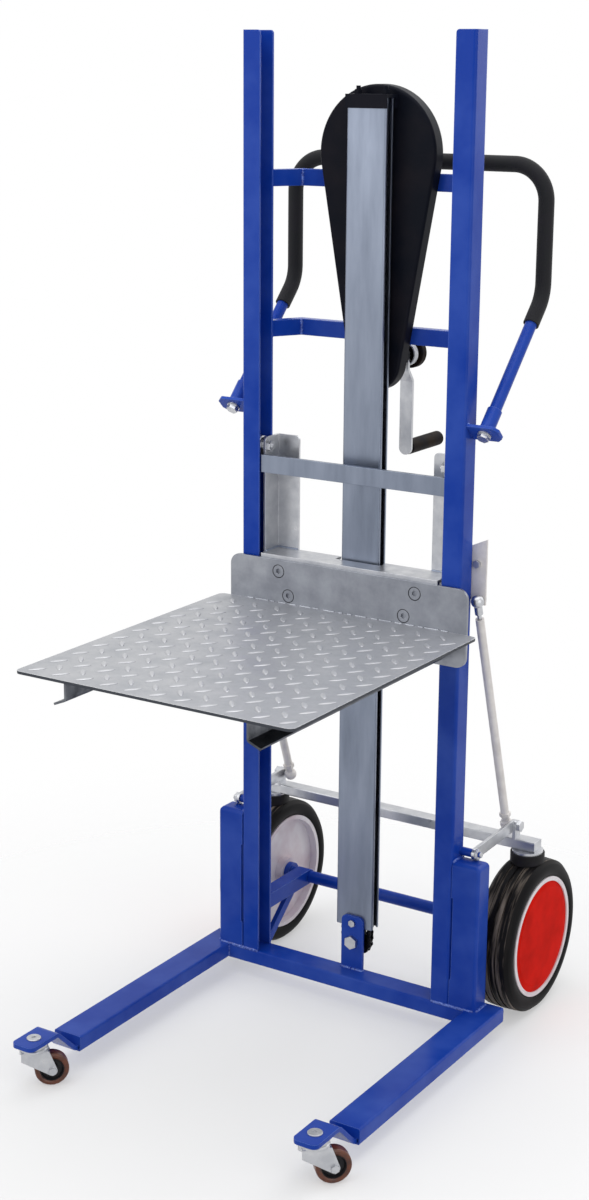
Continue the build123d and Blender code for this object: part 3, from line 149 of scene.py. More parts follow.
class LiftSizes(bpy.types.PropertyGroup):
    """Sizes of the pieces that dress the lift."""

    lug_length: length("Lug length", "Length of one raised lug on the chequer plate", 33)
    lug_width: length("Lug width", "Width of one lug", 10)
    lug_height: length("Lug height", "How far a lug stands up", 1.7)
    lug_across: length("Lugs across", "Distance across the deck between lugs that lean one way", 50)
    lug_along: length("Lugs along", "Distance along the deck between lugs that lean one way", 57.2)
    lug_margin: length("Lug margin", "Bare edge of the deck", 1.5)
    chain_pitch: length("Chain pitch", "Distance between two pins of the chain", 12.7)
    chain_roller: length("Chain roller", "Radius of a chain roller", 4.2)
    chain_plate: length("Chain plate", "Thickness of a link plate", 1.15)
    chain_waist: length("Chain waist", "Half the height of a plate at its middle", 3.9)
    chain_head: length("Chain head", "Half the height of a plate at its pins", 5.2)
    weld: length("Weld", "Half the width of a weld bead", 3.8)
    weld_ripple: length("Weld ripple", "Distance between two ripples of a bead", 4.2)
    screw_gap: length("Screw gap", "Width of the gap round a countersunk screw", 1.3)
    edge: length("Edge", "Rounding that the finishes show on sheet edges", 1.2)


def settings():
    """The lift's colours and sizes."""
    return bpy.context.scene.lift_colours, bpy.context.scene.lift_sizes


def add(tree, kind, feeds=None, **properties):
    """Add a node: its properties, and its inputs from values or from other nodes' outputs."""
    made = tree.nodes.new(kind)
    for name, value in properties.items():
        setattr(made, name, value)
    for name, value in (feeds or {}).items():
        if isinstance(value, bpy.types.NodeSocket):
            tree.links.new(value, made.inputs[name])
        else:
            made.inputs[name].default_value = value
    return made


def per_metre(millimetres):
    """Texture scale that gives a pattern of this real size."""
    return 1 / (millimetres * MM)


def start(name, values):
    """New material: its tree, its shader with these values and the coordinates fixed to the piece."""
    material = bpy.data.materials.new(name)
    material.use_nodes = True
    tree = material.node_tree
    shader = tree.nodes["Principled BSDF"]
    for socket, value in values.items():
        shader.inputs[socket].default_value = value
    place = add(tree, "ShaderNodeTexCoord").outputs["Object"]
    return material, tree, shader, place


def feed(tree, source, shader, socket):
    """Join an output to one of the shader's inputs."""
    tree.links.new(source, shader.inputs[socket])


def worn_edge(tree, radius, flat, sharp, most):
    """Normal rounded over the edges, and how much of an edge each point is, from 0 to most."""
    soft = add(tree, "ShaderNodeBevel", {"Radius": radius}, samples=4).outputs[0]
    facing = add(tree, "ShaderNodeNewGeometry").outputs["Normal"]
    turn = add(tree, "ShaderNodeVectorMath", {0: soft, 1: facing}, operation="DOT_PRODUCT")
    share = add(
        tree, "ShaderNodeMapRange",
        {"Value": turn.outputs["Value"], "From Min": flat, "From Max": sharp, "To Max": most},
    )
    return soft, share.outputs[0]


def blue_powder_coat(colours, sizes):
    """Polyester powder coat, sprayed and baked: even gloss with a fine orange peel, and a painted highlight
    of lighter blue along the edges.
    """
    material, tree, shader, place = start("blue_powder_coat", {"IOR": 1.5, "Specular IOR Level": 0.12})
    # A cloud about a hand wide keeps long faces from one flat tone.
    cloud = add(tree, "ShaderNodeTexNoise", {"Vector": place, "Scale": per_metre(90), "Detail": 3.0})
    # Painted highlight: the edge amount mixes the base towards the lighter blue, standing in for glints on
    # the edges.
    soft, edge = worn_edge(tree, 2 * sizes.edge, 0.98, 0.8, 0.7)
    shade = add(
        tree, "ShaderNodeMapRange",
        {"Value": cloud.outputs["Fac"], "From Min": 0.35, "From Max": 0.7, "To Min": 0.0, "To Max": 0.16},
    )
    both = add(tree, "ShaderNodeMath", {0: edge, 1: shade.outputs[0]}, operation="MAXIMUM")
    mix = add(
        tree, "ShaderNodeMix",
        {0: both.outputs[0], 6: list(colours.blue), 7: list(colours.blue_thin)}, data_type="RGBA",
    )
    feed(tree, mix.outputs[2], shader, "Base Color")
    # Orange peel is about 1 mm on the real coat, drawn at 4 mm so that it shows.
    peel = add(tree, "ShaderNodeTexNoise", {"Vector": place, "Scale": per_metre(4), "Detail": 2.0})
    rough = add(
        tree, "ShaderNodeMapRange", {"Value": cloud.outputs["Fac"], "To Min": 0.18, "To Max": 0.3},
    )
    feed(tree, rough.outputs[0], shader, "Roughness")
    bump = add(
        tree, "ShaderNodeBump",
        {"Height": peel.outputs["Fac"], "Strength": 0.06, "Distance": 0.4 * MM, "Normal": soft},
    )
    feed(tree, bump.outputs[0], shader, "Normal")
    return material


def metal(name, light, dark, patch_mm, rough, streak, edge):
    """Bare or plated steel: cloudy patches, streaks along its length and bright rounded edges."""
    material, tree, shader, place = start(name, {"Metallic": 1.0, "Roughness": rough})
    stretch = add(tree, "ShaderNodeMapping", {"Vector": place, "Scale": streak})
    cloud = add(
        tree, "ShaderNodeTexNoise",
        {"Vector": stretch.outputs[0], "Scale": per_metre(patch_mm), "Detail": 5.0, "Roughness": 0.6},
    )
    grain = add(tree, "ShaderNodeTexNoise", {"Vector": place, "Scale": per_metre(2.2), "Detail": 2.0})
    tone = add(
        tree, "ShaderNodeMapRange", {"Value": cloud.outputs["Fac"], "From Min": 0.32, "From Max": 0.68},
    )
    mix = add(tree, "ShaderNodeMix", {0: tone.outputs[0], 6: list(dark), 7: list(light)}, data_type="RGBA")
    feed(tree, mix.outputs[2], shader, "Base Color")
    gloss = add(
        tree, "ShaderNodeMapRange",
        {
            "Value": cloud.outputs["Fac"], "From Min": 0.3, "From Max": 0.7,
            "To Min": rough * 1.2, "To Max": rough * 0.8,
        },
    )
    feed(tree, gloss.outputs[0], shader, "Roughness")
    soft = add(tree, "ShaderNodeBevel", {"Radius": edge}, samples=4)
    bump = add(
        tree, "ShaderNodeBump",
        {"Height": grain.outputs["Fac"], "Strength": 0.08, "Distance": 0.3 * MM, "Normal": soft.outputs[0]},
    )
    feed(tree, bump.outputs[0], shader, "Normal")
    return material


def zinc_plated_steel(colours, sizes):
    """Bright zinc dip on bars, struts and screws: a clean mirror that is dulled in small patches."""
    return metal("zinc_plated_steel", colours.zinc, colours.zinc_cloud, 24, 0.34, (1, 1, 1), sizes.edge)


def galvanised_sheet(colours, sizes):
    """Rolled galvanised sheet: long soft runs down its length."""
    return metal("galvanised_sheet", colours.sheet, colours.sheet_cloud, 45, 0.36, (1, 1, 0.16), sizes.edge)


def steel_plate(colours, sizes):
    """Hot rolled chequer plate: grey clouds on top, a near-white tone on its rounded edges, and painted
    shade on its sides and underside.
    """
    material = metal("steel_plate", colours.plate, colours.plate_dark, 60, 0.5, (1, 1, 1), sizes.edge)
    tree = material.node_tree
    shader = tree.nodes["Principled BSDF"]
    worn = shader.inputs["Base Color"].links[0].from_socket
    facing = add(tree, "ShaderNodeNewGeometry")
    _, edge = worn_edge(tree, 2 * sizes.edge, 0.99, 0.85, 1.0)
    bright = add(tree, "ShaderNodeMix", {0: edge, 6: worn, 7: list(colours.plate_edge)}, data_type="RGBA")
    # Painted shade: faces that turn away from up, the deck's sides and underside, take the dark steel
    # colour.
    parts = add(tree, "ShaderNodeSeparateXYZ", {0: facing.outputs["True Normal"]})
    scale = add(tree, "ShaderNodeMapRange", {"Value": parts.outputs["Z"], "From Min": 0.4, "From Max": 0.1})
    mix = add(
        tree, "ShaderNodeMix",
        {0: scale.outputs[0], 6: bright.outputs[2], 7: list(colours.mill_scale_dark)}, data_type="RGBA",
    )
    feed(tree, mix.outputs[2], shader, "Base Color")
    return material


def lugs_painted_lighter(colours, sizes):
    """Lugs of the same plate: a tone lighter than the ground, a painted highlight on their crests."""
    return metal("lugs_painted_lighter", colours.lug, colours.plate, 20, 0.5, (1, 1, 1), sizes.edge)


def shaded_rib_steel(colours, sizes):
    """Ribs under the deck: dark blue-grey and half matt, coloured darker than the deck as painted shade for
    their place under it.
    """
    return metal("shaded_rib_steel", colours.shaded_rib_steel, colours.mill_scale_dark, 35, 0.42, (1, 1, 1), sizes.edge)


def rolled_plate(colours, sizes):
    """Cold rolled back plate: neutral grey with broad dull clouds."""
    return metal("rolled_plate", colours.rolled, colours.rolled_dark, 45, 0.4, (1, 1, 1), sizes.edge)


def oiled_steel(colours, sizes):
    """Hardened chain steel with a film of oil: dark and half glossy."""
    return metal("oiled_steel", colours.oiled, colours.black, 6, 0.38, (1, 1, 1), sizes.edge / 4)


def coated(name, light, dark, patch_mm, pore_mm, pore_depth, low, high, values):
    """Paint, plastic or rubber: two tones in patches, and a skin of pores of a real size."""
    material, tree, shader, place = start(name, values)
    cloud = add(tree, "ShaderNodeTexNoise", {"Vector": place, "Scale": per_metre(patch_mm), "Detail": 5.0})
    tone = add(
        tree, "ShaderNodeMapRange", {"Value": cloud.outputs["Fac"], "From Min": 0.4, "From Max": 0.75},
    )
    mix = add(tree, "ShaderNodeMix", {0: tone.outputs[0], 6: list(light), 7: list(dark)}, data_type="RGBA")
    feed(tree, mix.outputs[2], shader, "Base Color")
    rough = add(tree, "ShaderNodeMapRange", {"Value": cloud.outputs["Fac"], "To Min": low, "To Max": high})
    feed(tree, rough.outputs[0], shader, "Roughness")
    pores = add(tree, "ShaderNodeTexNoise", {"Vector": place, "Scale": per_metre(pore_mm), "Detail": 3.0})
    bump = add(
        tree, "ShaderNodeBump",
        {"Height": pores.outputs["Fac"], "Strength": 0.3, "Distance": pore_depth * MM},
    )
    feed(tree, bump.outputs[0], shader, "Normal")
    return material


def pooled_powder_coat(colours, sizes):
    """Powder coat that has pooled on the weld beads: thicker and glossier, with painted glints as small
    patches of lighter blue.
    """
    values = {"IOR": 1.5, "Specular IOR Level": 0.7}
    # Painted highlight: 5 mm patches of the lighter blue stand in for glints on the ripples.
    return coated("pooled_powder_coat", colours.blue, colours.blue_thin, 5, 2, 0.1, 0.1, 0.2, values)


def dull_zinc(colours, sizes):
    """Passivated zinc of the strut gear: a dull grey bloom that hides most reflections."""
    values = {"Metallic": 0.15, "IOR": 1.5, "Specular IOR Level": 0.25}
    return coated("dull_zinc", colours.dull, colours.dull_cloud, 30, 2, 0.1, 0.45, 0.6, values)


def black_stove_enamel(colours, sizes):
    """Black stove enamel on the drive case: half gloss, with patches of a warmer dark tone that are dust and
    a painted sheen.
    """
    values = {"IOR": 1.5, "Specular IOR Level": 0.05}
    # Painted sheen: the warmer patches also stand in for the sheen on the case.
    return coated("black_stove_enamel", colours.black, colours.black_dust, 70, 3, 0.15, 0.3, 0.5, values)


def nitrile_foam(colours, sizes):
    """Closed-cell nitrile foam: matt, with fine pores, drawn at 2 mm so that they show."""
    values = {"IOR": 1.5, "Specular IOR Level": 0.2, "Sheen Weight": 0.06, "Sheen Roughness": 0.5}
    return coated("nitrile_foam", colours.foam, colours.black_dust, 30, 2, 0.35, 0.62, 0.8, values)


def moulded_grip_rubber(colours, sizes):
    """Moulded hand rubber of the crank's grip and disc: brown-black and satin."""
    values = {"IOR": 1.5, "Specular IOR Level": 0.03}
    return coated("moulded_grip_rubber", colours.grip, colours.black, 25, 1.6, 0.2, 0.4, 0.58, values)


def cut_rubber(colours, sizes):
    """Cut black rubber of the brake pads: matt and open-grained."""
    values = {"IOR": 1.5, "Specular IOR Level": 0.2}
    return coated("cut_rubber", colours.rubber, colours.black_dust, 20, 1.5, 0.25, 0.5, 0.7, values)


def white_polyamide(colours, sizes):
    """Moulded white polyamide of the rims: satin, with a little warm staining."""
    values = {"IOR": 1.53, "Subsurface Weight": 0.08, "Subsurface Radius": (0.004, 0.003, 0.003)}
    return coated("white_polyamide", colours.rim, colours.rim_stain, 60, 4, 0.12, 0.3, 0.45, values)


def red_abs(colours, sizes):
    """Moulded red plastic of the wheel caps: satin, with faint scuffs."""
    values = {"IOR": 1.54, "Specular IOR Level": 0.02}
    return coated("red_abs", colours.cap, colours.cap_wear, 50, 3, 0.12, 0.45, 0.6, values)


def amber_polyurethane(colours, sizes):
    """Cast polyurethane of the caster treads: amber, in small random patches with a darker brown that is
    painted shade.
    """
    values = {"IOR": 1.5, "Subsurface Weight": 0.2, "Subsurface Radius": (0.006, 0.003, 0.001)}
    # Painted shade: the darker brown stands in for the shade on the wheels under their forks.
    return coated("amber_polyurethane", colours.tread, colours.tread_deep, 12, 2, 0.1, 0.25, 0.4, values)


def core_polyamide(colours, sizes):
    """Moulded polyamide core of the casters: dark and satin."""
    values = {"IOR": 1.5, "Specular IOR Level": 0.2}
    return coated("core_polyamide", colours.core, colours.black, 10, 1.5, 0.15, 0.4, 0.55, values)


def solid_tyre_rubber(colours, sizes):
    """Solid rubber tyre: black sidewalls, and a tread with dust rubbed in rings round it."""
    material, tree, shader, place = start("solid_tyre_rubber", {"IOR": 1.52, "Specular IOR Level": 0.08})
    # Rings run round the wheel, so the pattern is fine across the tread and long round it.
    stretch = add(tree, "ShaderNodeMapping", {"Vector": place, "Scale": (1, 0.07, 0.07)})
    rings = add(
        tree, "ShaderNodeTexNoise",
        {"Vector": stretch.outputs[0], "Scale": per_metre(9), "Detail": 4.0, "Roughness": 0.6},
    )
    facing = add(tree, "ShaderNodeNewGeometry")
    parts = add(tree, "ShaderNodeSeparateXYZ", {0: facing.outputs["Normal"]})
    side = add(tree, "ShaderNodeMath", {0: parts.outputs["X"]}, operation="ABSOLUTE")
    tread = add(
        tree, "ShaderNodeMapRange",
        {"Value": side.outputs[0], "From Min": 0.7, "From Max": 0.3, "To Max": 0.9},
    )
    dust = add(
        tree, "ShaderNodeMapRange", {"Value": rings.outputs["Fac"], "From Min": 0.48, "From Max": 0.68},
    )
    amount = add(tree, "ShaderNodeMath", {0: tread.outputs[0], 1: dust.outputs[0]}, operation="MULTIPLY")
    mix = add(
        tree, "ShaderNodeMix",
        {0: amount.outputs[0], 6: list(colours.rubber), 7: list(colours.rubber_dust)}, data_type="RGBA",
    )
    feed(tree, mix.outputs[2], shader, "Base Color")
    rough = add(tree, "ShaderNodeMapRange", {"Value": rings.outputs["Fac"], "To Min": 0.36, "To Max": 0.66})
    feed(tree, rough.outputs[0], shader, "Roughness")
    grain = add(tree, "ShaderNodeTexNoise", {"Vector": place, "Scale": per_metre(1.8), "Detail": 2.0})
    bump = add(
        tree, "ShaderNodeBump", {"Height": grain.outputs["Fac"], "Strength": 0.25, "Distance": 0.2 * MM},
    )
    feed(tree, bump.outputs[0], shader, "Normal")
    return material


FINISHES = {
    "blue": (blue_powder_coat, (
        "mast_left mast_right base_frame mast_feet caster_plates braces axle_arms wheel_axle "
        "foot_bracket brake_stubs handle_tube handle_feet"
    )),
    "pooled": (pooled_powder_coat, ""),
    "zinc": (zinc_plated_steel, (
        "caster_heads caster_fork_right caster_fork_left frame_bolts brake_bar brake_links strut_rod_right "
        "strut_rod_left crank_arm crank_spring roller_axles lower_rollers upper_rollers "
        "carriage_upright_left carriage_upright_right carriage_beam"
    )),
    "dull": (dull_zinc, "strut_brackets strut_tube_right strut_tube_left"),
    "sheet": (galvanised_sheet, "column carriage_top_bar chain_clamp"),
    "rolled": (rolled_plate, "back_plate deck_bolts"),
    "plate": (steel_plate, "deck_plate"),
    "lugs": (lugs_painted_lighter, ""),
    "scale": (shaded_rib_steel, "deck_ribs"),
    "black": (black_stove_enamel, "top_bracket drive_case case_plate"),
    "oiled": (oiled_steel, (
        "lift_chain drive_chain lift_shaft lift_sprocket driven_sprocket tail_sprocket crank_shaft"
    )),
    "foam": (nitrile_foam, "handle_foam"),
    "grip": (moulded_grip_rubber, "crank_disc crank_grip"),
    "tyre": (solid_tyre_rubber, "tyre_right tyre_left"),
    "rim": (white_polyamide, "rim_right rim_left"),
    "cap": (red_abs, "wheel_cap_right wheel_cap_left"),
    "pad": (cut_rubber, "brake_pads"),
    "tread": (amber_polyurethane, ""),
    "core": (core_polyamide, "caster_wheel_right caster_wheel_left"),
}


def finish(name):
    """The material for one finish, made once."""
    maker = FINISHES[name][0]
    return bpy.data.materials.get(maker.__name__) or maker(*settings())


def piece(name, verts, faces, finish_name, body, smooth=True):
    """New mesh piece that rides on a body and takes its finish from a slot."""
    if not verts:
        raise RuntimeError(f"{name} has no mesh")
    mesh = bpy.data.meshes.new(name)
    mesh.from_pydata(verts, [], faces)
    checker = bmesh.new()
    checker.from_mesh(mesh)
    bmesh.ops.recalc_face_normals(checker, faces=checker.faces)
    checker.to_mesh(mesh)
    checker.free()
    mesh.polygons.foreach_set("use_smooth", [smooth] * len(mesh.polygons))
    mesh.materials.append(finish(finish_name))
    made = bpy.data.objects.new(name, mesh)
    bpy.context.scene.collection.objects.link(made)
    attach(made, body)
    return made


def gather(verts, faces, more_verts, more_faces):
    """Append one shape to the lists of a piece."""
    shift = len(verts)
    verts.extend(more_verts)
    faces.extend([place + shift for place in face] for face in more_faces)


def skin(rings, closed):
    """Faces over a row of equal rings of points, with end caps unless the row closes on itself."""
    count = len(rings[0])
    verts = [point for ring in rings for point in ring]
    faces = []
    pairs = len(rings) if closed else len(rings) - 1
    for row in range(pairs):
        near = row * count
        far = (row + 1) % len(rings) * count
        for place in range(count):
            after = (place + 1) % count
            faces.append([near + place, near + after, far + after, far + place])
    if not closed:
        faces.append(list(range(count)))
        faces.append(list(range(len(verts) - count, len(verts))))
    return verts, faces


def mirrored(points):
    """The same points on the other side of the lift."""
    return [Vector((-point.x, point.y, point.z)) for point in points]


def lug(sizes, middle, angle):
    """One raised lens of the chequer plate."""
    steps, arc = 10, 6
    turn = Matrix.Rotation(angle, 3, "Z")
    rings = []
    for step in range(steps + 1):
        along = -0.98 + 1.96 * step / steps
        swell = 1 - along * along
        half = sizes.lug_width / 2 * swell ** 0.75
        rise = sizes.lug_height * swell ** 0.5
        ring = []
        for place in range(arc + 1):
            sweep = math.pi * place / arc
            point = Vector((along * sizes.lug_length / 2, half * math.cos(sweep), rise * math.sin(sweep)))
            ring.append(middle + turn @ point)
        rings.append(ring)
    return skin(rings, False)


class LIFT_OT_deck_lugs(bpy.types.Operator):
    """Raise the crossed lugs of the chequer plate on the deck"""

    bl_idname = "lift.deck_lugs"
    bl_label = "Chequer lugs"

    def execute(self, context):
        _, sizes = settings()
        low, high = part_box("deck_plate")
        room = (high - low) / 2 - Vector((1, 1, 0)) * sizes.lug_margin
        reach = Vector((math.cos(LUG_LEAN), math.sin(LUG_LEAN))) * sizes.lug_length / 2
        step = Vector((sizes.lug_across, sizes.lug_along)) / 2
        columns, rows = int(room.x / step.x) + 1, int(room.y / step.y) + 1
        centre = (low + high) / 2
        verts, faces = [], []
        for column in range(-columns, columns + 1):
            for row in range(-rows, rows + 1):
                x = LUG_SHIFT[0] + column * step.x
                y = LUG_SHIFT[1] + row * step.y
                # Lugs that lean the other way stand between, each pointing at its neighbour's middle.
                if (column + row) % 2 or abs(x) + reach.x > room.x or abs(y) + reach.y > room.y:
                    continue
                middle = Vector((centre.x + x, centre.y + y, high.z - 0.1 * MM))
                gather(verts, faces, *lug(sizes, middle, -LUG_LEAN if column % 2 else LUG_LEAN))
        piece("deck_lugs", verts, faces, "lugs", "carriage")
        return {"FINISHED"}


def pin_place(turn, top, low, radius, strand):
    """Centre of the chain's pin number turn, counted from the top of the upper sprocket."""
    quarter = TEETH / 4
    half = 2 * quarter
    step = math.pi / half
    length_of = (top.z - low.z) / strand
    if turn <= quarter:
        angle = math.pi / 2 - turn * step
        return top + radius * Vector((math.cos(angle), 0, math.sin(angle)))
    turn -= quarter
    if turn < strand:
        return top + Vector((radius, 0, -turn * length_of))
    turn -= strand
    if turn <= half:
        angle = -turn * step
        return low + radius * Vector((math.cos(angle), 0, math.sin(angle)))
    turn -= half
    if turn < strand:
        return low + Vector((-radius, 0, turn * length_of))
    angle = math.pi - (turn - strand) * step
    return top + radius * Vector((math.cos(angle), 0, math.sin(angle)))


def link_plate(sizes, start_pin, end_pin, offset):
    """Waisted side plate between two pins; offset is its near face along the pins."""
    run = end_pin - start_pin
    way = run.normalized()
    up = Vector((-way.z, 0, way.x))
    outline = []
    for side, pin in ((1, end_pin), (-1, start_pin)):
        for degrees in (-75, -35, 0, 35, 75):
            angle = math.radians(degrees)
            across = side * sizes.chain_head * math.sin(angle)
            outline.append(pin + way * side * sizes.chain_head * math.cos(angle) + up * across)
        middle = (start_pin + end_pin) / 2
        outline.append(middle + up * side * sizes.chain_waist)
    near = [point + Vector((0, offset, 0)) for point in outline]
    far = [point + Vector((0, offset + sizes.chain_plate, 0)) for point in outline]
    return skin([near, far], False)


def pin_barrel(pin, radius, half):
    """Short round bar along Y about a pin's centre, with eased ends."""
    count = 10
    ease = radius / 8
    rings = []
    ends = ((-half, radius - ease), (ease - half, radius), (half - ease, radius), (half, radius - ease))
    for depth, reach in ends:
        ring = []
        for place in range(count):
            angle = 2 * math.pi * place / count
            ring.append(pin + Vector((reach * math.cos(angle), depth, reach * math.sin(angle))))
        rings.append(ring)
    return skin(rings, False)


class LIFT_OT_chain(bpy.types.Operator):
    """Lay the lift chain link by link round its two sprockets"""

    bl_idname = "lift.chain"
    bl_label = "Lift chain"

    def execute(self, context):
        _, sizes = settings()
        top = sum(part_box("lift_sprocket"), Vector()) / 2
        low = sum(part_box("tail_sprocket"), Vector()) / 2
        inside = (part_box("lift_sprocket")[1].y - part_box("lift_sprocket")[0].y) * 0.38
        radius = sizes.chain_pitch / 2 / math.sin(math.pi / TEETH)
        strand = round((top.z - low.z) / sizes.chain_pitch)
        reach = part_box("tail_sprocket")[1].z - low.z + 1.2 * sizes.chain_roller
        pins = [pin_place(turn, top, low, radius, strand) for turn in range(TEETH + 2 * strand)]
        verts, faces = [], []
        for turn, pin in enumerate(pins):
            after = pins[(turn + 1) % len(pins)]
            near = inside if turn % 2 else inside + sizes.chain_plate + 0.05 * MM
            gather(verts, faces, *link_plate(sizes, pin, after, near))
            gather(verts, faces, *link_plate(sizes, pin, after, -near - sizes.chain_plate))
            rivet = 1.3 * sizes.chain_plate
            if min((pin - top).length, (pin - low).length) < reach:
                # The chain stands still while the sprockets turn, so nothing crosses the teeth here.
                for side in (-1, 1):
                    head = pin + Vector((0, side * (inside + rivet), 0))
                    gather(verts, faces, *pin_barrel(head, sizes.chain_roller * 0.5, rivet))
                continue
            gather(verts, faces, *pin_barrel(pin, sizes.chain_roller, inside - 0.1 * MM))
            gather(verts, faces, *pin_barrel(pin, sizes.chain_roller * 0.5, inside + 2 * rivet))
        chain = piece("lift_chain_links", verts, faces, "oiled", "frame", smooth=False)
        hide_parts("lift_chain")
        return {"FINISHED"}


def bead(first, second, half, ripple, draw):
    """Weld bead between two points: overlapping scales of slightly uneven width."""
    count = 8
    run = second - first
    way = run.normalized()
    side = way.orthogonal().normalized()
    other = way.cross(side)
    steps = max(2, int(run.length / (ripple / 3)))
    rings = []
    for step in range(steps + 1):
        share = step / steps
        phase = share * run.length / ripple % 1
        reach = half * (0.72 + 0.38 * phase + 0.1 * draw.random())
        if step in (0, steps):
            reach *= 0.5
        wander = half * 0.12 * (draw.random() - 0.5)
        ring = []
        for place in range(count):
            angle = 2 * math.pi * place / count
            out = side * (wander + reach * math.cos(angle)) + other * reach * math.sin(angle)
            ring.append(first + run * share + out)
        rings.append(ring)
    return skin(rings, False)


def arc_path(centre, across, up, radius, count=20):
    """Points of a closed circle about a centre."""
    turns = [2 * math.pi * place / count for place in range(count + 1)]
    return [centre + radius * (across * math.cos(turn) + up * math.sin(turn)) for turn in turns]


def weld(name, seams, half, finish_name, body, slot, seed):
    """One piece of weld beads: each seam and its mirror image."""
    _, sizes = settings()
    draw = random.Random(seed)
    verts, faces = [], []
    for seam in seams:
        points = [Vector(point) for point in seam]
        for path in (points, mirrored(points)):
            for first, second in zip(path, path[1:]):
                gather(verts, faces, *bead(first, second, half, sizes.weld_ripple, draw))
    return piece(name, verts, faces, finish_name, body)


class LIFT_OT_welds(bpy.types.Operator):
    """Run the weld beads along the seams of the frame"""

    bl_idname = "lift.welds"
    bl_label = "Frame welds"

    def execute(self, context):
        _, sizes = settings()
        half = sizes.weld
        front, back = MAST_LOW.y, MAST_HIGH.y
        mast_in, mast_out = MAST_LOW.x, MAST_HIGH.x
        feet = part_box("mast_feet")[1]
        base_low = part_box("base_frame")[0]
        bracket_low, bracket_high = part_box("foot_bracket")
        # The back plate passes 3 mm in front of the masts, so the beads there stay low.
        low_front = front + half - 2.4 * MM
        seams = [
            [(mast_in, low_front, BASE_TOP), (feet.x - half, low_front, BASE_TOP)],
            [(feet.x, front + half, BASE_TOP), (feet.x, back - half, BASE_TOP)],
            [(mast_in, back, BASE_TOP), (feet.x - half, back, BASE_TOP)],
            [(mast_out, front + half, feet.z), (mast_out, back - half, feet.z)],
            [(LEG_IN, low_front, base_low.z + half), (LEG_IN, low_front, BASE_TOP - half)],
            [(0, bracket_low.y, BASE_TOP), (bracket_high.x, bracket_low.y, BASE_TOP)],
            [(bracket_high.x, bracket_low.y, BASE_TOP), (bracket_high.x, bracket_high.y, BASE_TOP)],
        ]
        brace_low, brace_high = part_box("braces")
        for foot in (brace_low.z, brace_high.z - RAIL_HEIGHT):
            for height in (foot, foot + RAIL_HEIGHT):
                seams.append([(BRACE_FOOT[0], back, height), (BRACE_FOOT[1], back, height)])
            kink = (BRACE_KINK, brace_high.y - BRACE_DEPTH)
            seams.append([(*kink, foot), (*kink, foot + RAIL_HEIGHT)])
        arm_low, arm_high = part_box("axle_arms")
        # The arms carry the load, so their seam has two passes.
        for x in (-arm_low.x, arm_high.x):
            seams.append([(x, back, arm_high.z - RAIL_HEIGHT), (x, back, arm_high.z)])
        right = Vector((1, 0, 0))
        upward = HANDLE_WAY.cross(right)
        seams.append(arc_path(HANDLE_FOOT, right, upward, HANDLE_SOCKET))
        wall = Vector((mast_out, HANDLE_FOOT.y, HANDLE_FOOT.z))
        seams.append([wall - upward * FLANGE_HALF, wall + upward * FLANGE_HALF])
        weld("frame_welds", seams, half, "pooled", "frame", "blue_paint", 11)
        return {"FINISHED"}


class LIFT_OT_carriage_welds(bpy.types.Operator):
    """Run the weld beads of the carriage and its deck"""

    bl_idname = "lift.carriage_welds"
    bl_label = "Carriage welds"

    def execute(self, context):
        _, sizes = settings()
        half = sizes.weld * 0.7
        deck_low, deck_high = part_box("deck_plate")
        back_low, back_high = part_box("back_plate")
        upright_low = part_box("carriage_upright_right")[0]
        beam_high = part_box("carriage_beam")[1]
        bar_low, bar_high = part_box("carriage_top_bar")
        seams = [
            [(upright_low.x, beam_high.y, beam_high.z), (beam_high.x, beam_high.y, beam_high.z)],
            [(beam_high.x, upright_low.y, beam_high.z), (beam_high.x, beam_high.y, beam_high.z)],
            [(beam_high.x, bar_high.y, bar_low.z), (beam_high.x, bar_high.y, bar_high.z)],
        ]
        stitch, first, apart = 40 * MM, 60 * MM, 120 * MM
        for place in range(5):
            y = deck_low.y + first + place * apart
            seams.append([(RIB_SEAM, y, deck_low.z), (RIB_SEAM, y + stitch, deck_low.z)])
        weld("carriage_welds", seams, half, "sheet", "carriage", "zinc_steel", 12)
        # The seam behind the deck is broken by hand into runs of uneven length.
        draw = random.Random(14)
        stitches, x = [], 4 * MM
        while x < back_high.x - 40 * MM:
            run = draw.uniform(9, 34) * MM
            stitches.append([(x, back_low.y, deck_high.z), (x + run, back_low.y, deck_high.z)])
            x += run + draw.uniform(-1, 9) * MM
        weld("deck_weld", stitches, half, "rolled", "carriage", "chequer_plate", 13)
        return {"FINISHED"}


def lathe(profile, centre, axis, count=40):
    """Body of revolution: a closed outline of (along, radius) pairs about an axis."""
    across = axis.orthogonal().normalized()
    up = axis.cross(across)
    rings = []
    for place in range(count):
        angle = 2 * math.pi * place / count
        out = across * math.cos(angle) + up * math.sin(angle)
        rings.append([centre + axis * along + out * radius for along, radius in profile])
    return skin(rings, True)


class LIFT_OT_screw_gaps(bpy.types.Operator):
    """Lay a dark ring round each countersunk screw of the back plate, a painted shadow of the gap there"""

    bl_idname = "lift.screw_gaps"
    bl_label = "Screw gaps"

    def execute(self, context):
        _, sizes = settings()
        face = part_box("back_plate")[0].y
        verts, faces = [], []
        outer, proud = SCREW_HEAD + sizes.screw_gap, 0.2 * MM
        outline = [(-proud, SCREW_HEAD), (-proud, outer), (proud, outer), (proud, SCREW_HEAD)]
        for x, z in DECK_SCREWS:
            for side in SIDES.values():
                centre = Vector((side * x, face, z))
                gather(verts, faces, *lathe(outline, centre, Vector((0, -1, 0))))
        # Painted shadow: rings of oiled steel stand in for the shade in the gaps.
        piece("screw_gaps", verts, faces, "oiled", "carriage", smooth=False)
        return {"FINISHED"}


